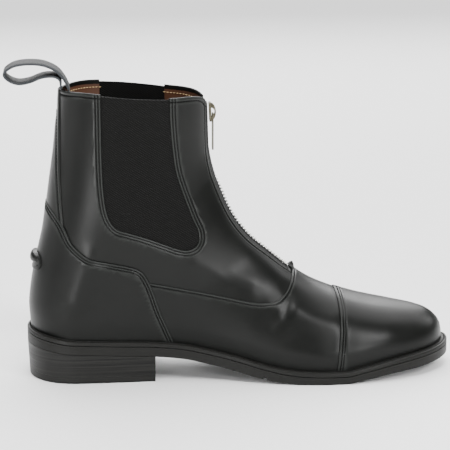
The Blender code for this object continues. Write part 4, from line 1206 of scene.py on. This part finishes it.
def build_tape():
    def lowered(sheet):
        return below_top(sheet) - ZIP_TOP_DROP

    def across(sheet):
        return np.abs(off_centre(sheet))

    sheet = whole.trim(zip_region).trim(lowered)
    sheet = sheet.ring(across, (CHAIN_CORD - 0.0008, CHAIN_CORD, CHAIN_CORD + 0.0008))
    cord = 0.0005 * ease(1 - np.abs(across(sheet) - CHAIN_CORD) / 0.0011)
    return shell("zip_tape", sheet, cord - ZIP_SINK, -ZIP_SINK - 0.0009, (tape_weave,))


def ridge(rows):
    """Points along the front ridge at these rows, with the way along it and the way out of it."""
    x, z = section["front_x"](rows), section["front_z"](rows)
    points = np.stack((x, centre(x), z), axis=1)
    way = np.gradient(points, axis=0)
    way /= np.linalg.norm(way, axis=1, keepdims=True)
    out = np.stack((way[:, 2], 0 * x, -way[:, 0]), axis=1)
    return points, way, out


def front_top():
    """Height at which the front ridge meets the top line."""
    rows = np.linspace(CORNER_ROW, LAST_ROW, 400)
    x, z = section["front_x"](rows), section["front_z"](rows)
    below = z[z < np.interp(x, top_line[:, 0], top_line[:, 1])]
    return float(below.max())


def row_at_height(height):
    rows = np.linspace(CORNER_ROW, LAST_ROW, 400)
    return float(np.interp(height, section["front_z"](rows), rows))


def row_at_x(x):
    rows = np.linspace(0, CORNER_ROW, 400)
    return float(np.interp(-x, -section["front_x"](rows), rows))


def build_teeth():
    first = row_at_x(ZIP_END_SHARE * LENGTH - 0.001)
    last = row_at_height(front_top() - ZIP_TOP_DROP - 0.0012)
    points, _, out = ridge(np.linspace(first, last, 500))
    along = run(points)
    sunk = TEETH_SINK * ease((points[:, 2:] - TEETH_SINK_HEIGHT) / TEETH_SINK_FADE)
    middle = points + out * (CHAIN_RISE - ZIP_SINK - sunk)
    lines = [(middle + np.array((0, side * TOOTH_OFFSET, 0)))[along >= start]
             for side, start in ((-1.0, 0.0), (1.0, TOOTH_PITCH / 2))]
    tree = row_tree("zip_teeth", TOOTH_PITCH, "GeometryNodeMeshCube", None, TOOTH_SIZE, True, teeth_metal)
    return grown("zip_teeth", lines, tree)


def slider_place():
    rows = row_at_height(front_top() - SLIDER_DROP) + np.array((-0.02, 0.0, 0.02))
    points, way, out = ridge(rows)
    return points[1] + out[1] * (CHAIN_RISE - ZIP_SINK + CLEARANCE), way[1], out[1]


def prism(bm, outline, low, high, put):
    """Closed prism of a flat outline of (a, b) between two depths, each corner placed by put(a, b, depth)."""
    near = [bm.verts.new(put(a, b, low)) for a, b in outline]
    far = [bm.verts.new(put(a, b, high)) for a, b in outline]
    for k in range(len(outline)):
        m = (k + 1) % len(outline)
        bm.faces.new((near[k], near[m], far[m], far[k]))
    bm.faces.new(near[::-1])
    bm.faces.new(far)


def finished(name, bm, material, bevel=0.0003):
    """Object of bm in the part's frame, with softly rounded edges."""
    bmesh.ops.recalc_face_normals(bm, faces=bm.faces)
    edges = [e for e in bm.edges if len(e.link_faces) == 2 and e.calc_face_angle(0.0) > math.radians(35)]
    bmesh.ops.bevel(bm, geom=edges, offset=bevel, segments=2, profile=0.5, affect="EDGES", clamp_overlap=True)
    bmesh.ops.recalc_face_normals(bm, faces=bm.faces)
    for face in bm.faces:
        face.smooth = True
    bmesh.ops.translate(bm, verts=bm.verts, vec=(-HEEL_LENGTH / 2, 0, 0))
    return meshed(name, bm, (material,), 50)


def rounded_box(wide, tall, corner, steps=5):
    """Outline of a rectangle with round corners, about its middle."""
    found = []
    for turn, (sx, sy) in enumerate(((1, 1), (-1, 1), (-1, -1), (1, -1))):
        for k in range(steps + 1):
            a = math.pi / 2 * (turn + k / steps)
            found.append((sx * (wide / 2 - corner) + corner * math.cos(a),
                          sy * (tall / 2 - corner) + corner * math.sin(a)))
    return found


def build_slider():
    origin, along, out = slider_place()
    bm = bmesh.new()

    def put(a, b, depth):
        return Vector(origin + out * depth + along * b) + Vector((0, a, 0))

    outline = [(a * (1.0 + 0.12 * b / SLIDER_LENGTH), b)
               for a, b in rounded_box(SLIDER_WIDTH * 0.94, SLIDER_LENGTH, SLIDER_WIDTH * 0.24)]
    prism(bm, outline, 0.0, SLIDER_THICKNESS, put)

    def upright(a, b, depth):
        return Vector(origin + out * (SLIDER_THICKNESS + a) + along * b) + Vector((0, depth, 0))

    outer, inner = [], []
    for k in range(13):
        a = math.pi * (k / 12 - 0.5)
        outer.append((math.cos(a) * BRIDGE_REACH, math.sin(a) * BRIDGE_HEIGHT / 2))
        inner.append((math.cos(a) * (BRIDGE_REACH - BRIDGE_WIRE), math.sin(a) * BRIDGE_HOLE / 2))
    sink = -SLIDER_THICKNESS * 0.4
    ring = [(sink, -BRIDGE_HEIGHT / 2)] + outer + [(sink, BRIDGE_HEIGHT / 2), (sink, BRIDGE_HOLE / 2)]
    ring += inner[::-1] + [(sink, -BRIDGE_HOLE / 2)]
    prism(bm, ring, -BRIDGE_WIDTH / 2, BRIDGE_WIDTH / 2, upright)
    return finished("zip_slider_cast", bm, slider_metal, 0.00022)


def build_tab():
    origin, along, out = slider_place()
    low = TAB_PLACE * BRIDGE_HOLE / 2
    axis = origin + out * (SLIDER_THICKNESS + 2 * CLEARANCE + TAB_THICKNESS / 2) - along * low
    bm = bmesh.new()
    top, bottom = TAB_BAR / 2, TAB_BAR / 2 - TAB_LENGTH
    middle = (top + bottom) / 2
    outline = [(a, b + middle) for a, b in rounded_box(TAB_WIDTH, TAB_LENGTH, TAB_WIDTH * 0.34, 6)]
    waist = [(a * (0.80 + 0.20 * ease(abs(b - middle) / (0.44 * TAB_LENGTH)) ** 2), b) for a, b in outline]
    eye_middle = -top - TAB_EYE_LENGTH / 2
    eye = [(a, b + eye_middle) for a, b in rounded_box(TAB_EYE_WIDTH, TAB_EYE_LENGTH, 0.0009, 6)]
    half = TAB_THICKNESS / 2
    loops = []
    for depth in (-half, half):
        for shape in (waist, eye):
            loops.append([bm.verts.new((axis[0] + depth, axis[1] + a, axis[2] + b)) for a, b in shape])
    count = len(waist)
    for k in range(count):
        m = (k + 1) % count
        for one, other in ((0, 2), (1, 3), (0, 1), (2, 3)):
            bm.faces.new((loops[one][k], loops[one][m], loops[other][m], loops[other][k]))
    return finished("pull_tab_cast", bm, slider_metal, 0.00022)


def outline_ring(inset, shares):
    """Both sides of the sole's outline, inset all round, at shares of its length."""
    x = inset + (LENGTH - 2 * inset) * shares
    return x, centre(x) - plan_half(OUTER, x, inset), centre(x) + plan_half(INNER, x, inset)


def looped(rings, n, closed, breast=False):
    """Faces between rings of n outer points and then n inner ones: closed they make a strip, else a plate."""
    spans = list(zip(range(rings), range(1, rings))) + [(rings - 1, 0)] * closed
    faces = []
    for a, b in spans:
        for k in range(n - 1):
            p, q = a * 2 * n + k, b * 2 * n + k
            faces += [(p, p + 1, q + 1, q), (p + n, q + n, q + n + 1, p + n + 1)]
        if breast:
            p, q = (a * 2 + 1) * n - 1, (b * 2 + 1) * n - 1
            faces.append((p, p + n, q + n, q))
    if not closed:
        last = (rings - 1) * 2 * n
        for k in range(n - 1):
            q = last + k
            faces += [(k, k + n, k + n + 1, k + 1), (q, q + 1, q + n + 1, q + n)]
    return faces


def lofted(name, profile, shares, materials, closed):
    """Sole piece from rings of (inset, height above a level, level) round the outline."""
    points = []
    for inset, rise, level in profile:
        x, outer, inner = outline_ring(inset, shares)
        z = level(x) + rise
        points += list(zip(x, outer, z)) + list(zip(x, inner, z))
    faces = looped(len(profile), len(shares), closed)
    return new_mesh(name, np.array(points), faces, materials, sharp=35, merge=0.00003)


SOLE_SHARES = cosine(180)


def build_welt():
    """Strip with broken edges and a channel in its top, where a row of stitches runs."""
    base, low = WELT_THICKNESS, WELT_THICKNESS - 0.0003
    rings = ((WELT_INSIDE, 0.0), (0.0003, 0.0), (0.0, 0.0003), (0.0, base * 0.62), (0.0003, low),
             (0.0008, base), (0.0014, base), (0.0017, low), (0.0021, low), (0.0024, base),
             (WELT_INSIDE, base))
    profile = [(inset, rise, welt_bottom) for inset, rise in rings]
    x, outer, far = outline_ring(0.0019, SOLE_SHARES)
    z = welt_bottom(x) + low
    stitch_rows["black"].append(np.array(list(zip(x, outer, z)) + list(zip(x, far, z))[::-1]))
    return lofted("welt_strip", profile, SOLE_SHARES, (edge_rubber,), True)


def build_outsole():
    def under(x):
        near = np.abs(x - GROOVE_PLACE) < GROOVE_WIDTH / 2
        return sole_under(x) + np.where(near, GROOVE_DEPTH, 0.0)

    half = GROOVE_WIDTH / 2
    edges = [(GROOVE_PLACE + s * (half + d)) / LENGTH for s in (-1, 1) for d in (-0.00001, 0.00001)]
    shares = np.sort(np.concatenate((SOLE_SHARES, edges)))
    profile = [(0.0002, 0.0, under), (0.0, 0.0002, under), (0.0, -0.0017, outsole_top),
               (0.00008, -0.0016, outsole_top), (0.00008, -0.0014, outsole_top), (0.0, -0.0013, outsole_top),
               (0.0, -0.0001, outsole_top), (0.0001, 0.0, outsole_top)]
    return lofted("outsole_rubber", profile, shares, (edge_rubber,), False)


def build_heel():
    """Stacked block with a softly broken edge, a fine joint above its top piece and a straight breast."""
    shares = 1 - np.cos(np.linspace(0, math.pi / 2, 57))
    levels = ((0.0, 0.0004), (0.0004, 0.0), (0.0046, 0.0), (0.0047, 0.0001), (0.0049, 0.0001), (0.0050, 0.0),
              (1.0, 0.0))
    top = sole_under(HEEL_LENGTH * shares) - 0.0001
    points = []
    for height, inset in levels:
        taper = HEEL_TAPER * (1 - np.minimum(height / top, 1.0)) + inset
        x = taper + (HEEL_LENGTH - taper) * shares
        z = np.minimum(height, top)
        points += list(zip(x, centre(x) - plan_half(OUTER, x, taper), z))
        points += list(zip(x, centre(x) + plan_half(INNER, x, taper), z))
    faces = looped(len(levels), len(shares), False, breast=True)
    return new_mesh("heel_stack", np.array(points), faces, (heel_ink,), sharp=35, merge=0.00003)


def build_insole():
    inner = WELT_INSIDE + CLEARANCE
    profile = [(inner, 0.0, welt_bottom), (inner, SOCK_RISE - 0.0004, welt_top),
               (inner + 0.0004, SOCK_RISE, welt_top)]
    return lofted("sock_lining", profile, SOLE_SHARES, (lining,), False)


def build_loop():
    x = float(back["x"](COLLAR_HEIGHT))
    anchor = np.array((x, float(np.interp(x + WALL, top_line[:, 0], top_line[:, 1]))))
    path = catmull([anchor + np.array((a * LOOP_REACH, b * LOOP_RISE)) for a, b in LOOP_PATH], 8)
    half, thick, soft = LOOP_WIDTH / 2, LOOP_THICKNESS / 2, 0.0004
    way = np.gradient(path, axis=0)
    way /= np.linalg.norm(way, axis=1, keepdims=True)
    out = np.stack((-way[:, 1], way[:, 0]), axis=1)
    across = [(s * (half - soft), thick) for s in (-1, 1)] + [(half, thick - soft), (half, soft - thick)]
    across += [(s * (half - soft), -thick) for s in (1, -1)] + [(-half, soft - thick), (-half, thick - soft)]
    mid = [(-half * 0.5, thick), (0.0, thick), (half * 0.5, thick)]
    across = [across[0]] + mid + across[1:]
    along = run(path)
    bm = bmesh.new()
    uv = bm.loops.layers.uv.new("weave")
    rings = []
    for (x, z), (ox, oz) in zip(path, out):
        rings.append([bm.verts.new((x + ox * t - HEEL_LENGTH / 2, y, z + oz * t)) for y, t in across])
    count = len(across)
    for r in range(len(rings) - 1):
        for k in range(count):
            m = (k + 1) % count
            face = bm.faces.new((rings[r][k], rings[r][m], rings[r + 1][m], rings[r + 1][k]))
            for loop, (u, v) in zip(face.loops, ((r, k), (r, m), (r + 1, m), (r + 1, k))):
                loop[uv].uv = (along[u], across[v][0])
            face.smooth = True
    bm.faces.new(rings[0][::-1])
    bm.faces.new(rings[-1])
    bmesh.ops.recalc_face_normals(bm, faces=bm.faces)
    return meshed("pull_loop_webbing", bm, (loop_weave,), 60)


def build_point():
    """Small tongue of the vamp's leather standing up where the zip ends."""
    end_x = ZIP_END_SHARE * LENGTH + CLEARANCE
    foot = float(section["front_z"](row_at_x(end_x + POINT_LENGTH)))
    seat = float(section["front_z"](row_at_x(end_x)))
    profile = ((0.0, seat + 0.0004), (0.0014, seat + POINT_RISE * 0.50), (0.0026, foot + POINT_RISE * 1.32),
               (0.0034, foot + POINT_RISE * 1.28), (0.0039, foot + POINT_RISE * 0.90), (0.0044, foot))
    narrow = (1.0, 0.62, 0.20, 0.20, 0.62, 1.0)
    bm = bmesh.new()
    sides = []
    for sign in (-1.0, 1.0):
        sides.append([bm.verts.new((end_x + x, float(centre(end_x)) + sign * POINT_WIDTH / 2 * n, z))
                      for (x, z), n in zip(profile, narrow)])
    for k in range(len(profile)):
        m = (k + 1) % len(profile)
        bm.faces.new((sides[0][k], sides[0][m], sides[1][m], sides[1][k]))
    bm.faces.new(sides[0])
    bm.faces.new(sides[1])
    return finished("vamp_point_leather", bm, calf, 0.0004)


def wear(piece, slot, *nodes, body="boot"):
    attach(piece, body)
    if nodes:
        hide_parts(*nodes)


wear(build_upper(), "black_leather", "upper")
wear(build_gore("gore_outer_elastic", -1.0), "black_elastic", "gore_outer")
wear(build_gore("gore_inner_elastic", 1.0), "black_elastic", "gore_inner")
pressed = ((out_of_cap, 0.0010, 0.00030), (out_of_counter, 0.0010, 0.00025))
wear(build_overlay("vamp_leather", (out_of_counter, below_seam, out_of_cap), VAMP_FACE, (below_seam,),
                   ((below_seam, 0.0019),), pressed), "black_leather", "vamp")
wear(build_point(), "black_leather")
wear(build_overlay("toe_cap_leather", (in_cap,), CAP_FACE, (in_cap,), ((in_cap, 0.0022), (in_cap, 0.0038))),
     "black_leather", "toe_cap")
wear(build_overlay("counter_leather", (in_counter,), COUNTER_FACE, (in_counter,),
                   ((in_counter, 0.0018), (in_counter, 0.0035))), "black_leather", "counter")
wear(build_overlay("back_stay_leather", (in_stay, out_of_counter, below_top), STAY_FACE, (in_stay, below_top),
                   ((in_stay, 0.0018),)), "black_leather", "back_stay")
wear(build_spur_rest(), "black_leather", "spur_rest")
wear(build_tape(), "zip_metal", "zip")
wear(build_teeth(), "zip_metal")
wear(build_slider(), "slider_metal", "zip_slider")
wear(build_tab(), "slider_metal", "zip_pull_tab", body="pull_tab")
wear(build_insole(), "tan_leather", "insole")
wear(build_welt(), "black_rubber", "welt")
wear(build_outsole(), "black_rubber", "outsole")
wear(build_heel(), "black_rubber", "heel")
wear(build_loop(), "black_webbing", "pull_loop")
wear(stitched("stitches_black", "black", black_thread), "black_leather")
wear(stitched("stitches_cream", "cream", cream_thread), "tan_leather")


# Studio


def build_floor():
    bm = bmesh.new()
    bmesh.ops.create_grid(bm, x_segments=2, y_segments=2, size=14.0)
    f = Finish("floor_paper_white", "#f7f7f7", 0.85)
    f.colours(f.noise(300.0), "#f4f4f4", "#fafafa")
    meshed("studio_floor", bm, (f.material,))


def softbox(name, place, aim, wide, tall, power):
    data = bpy.data.lights.new(name, "AREA")
    data.shape = "RECTANGLE"
    data.size, data.size_y, data.energy = wide, tall, power
    obj = linked(name, data)
    obj.location = place
    obj.rotation_euler = (Vector(aim) - Vector(place)).to_track_quat("-Z", "Y").to_euler()


def build_studio():
    build_floor()
    world = bpy.data.worlds.new("white_studio")
    world.use_nodes = True
    background = world.node_tree.nodes["Background"]
    background.inputs["Color"].default_value = (1, 1, 1, 1)
    background.inputs["Strength"].default_value = WORLD_STRENGTH
    bpy.context.scene.world = world
    overhead = bpy.data.lights.new("overhead_silk", "SUN")
    overhead.energy, overhead.angle = SILK_STRENGTH, SILK_ANGLE
    linked("overhead_silk", overhead).rotation_euler = (SILK_TILT, 0, 0)
    for light in SOFTBOXES:
        softbox(*light)


def build_camera():
    level = math.cos(CAMERA_ELEVATION)
    away_from = Vector((math.sin(CAMERA_AZIMUTH) * level, -math.cos(CAMERA_AZIMUTH) * level,
                        math.sin(CAMERA_ELEVATION)))
    data = bpy.data.cameras.new("photo_camera")
    data.sensor_width, data.lens = 36.0, CAMERA_LENS
    obj = linked("photo_camera", data)
    obj.location = Vector(CAMERA_TARGET) + away_from * CAMERA_DISTANCE
    obj.rotation_euler = away_from.to_track_quat("Z", "Y").to_euler()
    bpy.context.scene.camera = obj


build_studio()
build_camera()
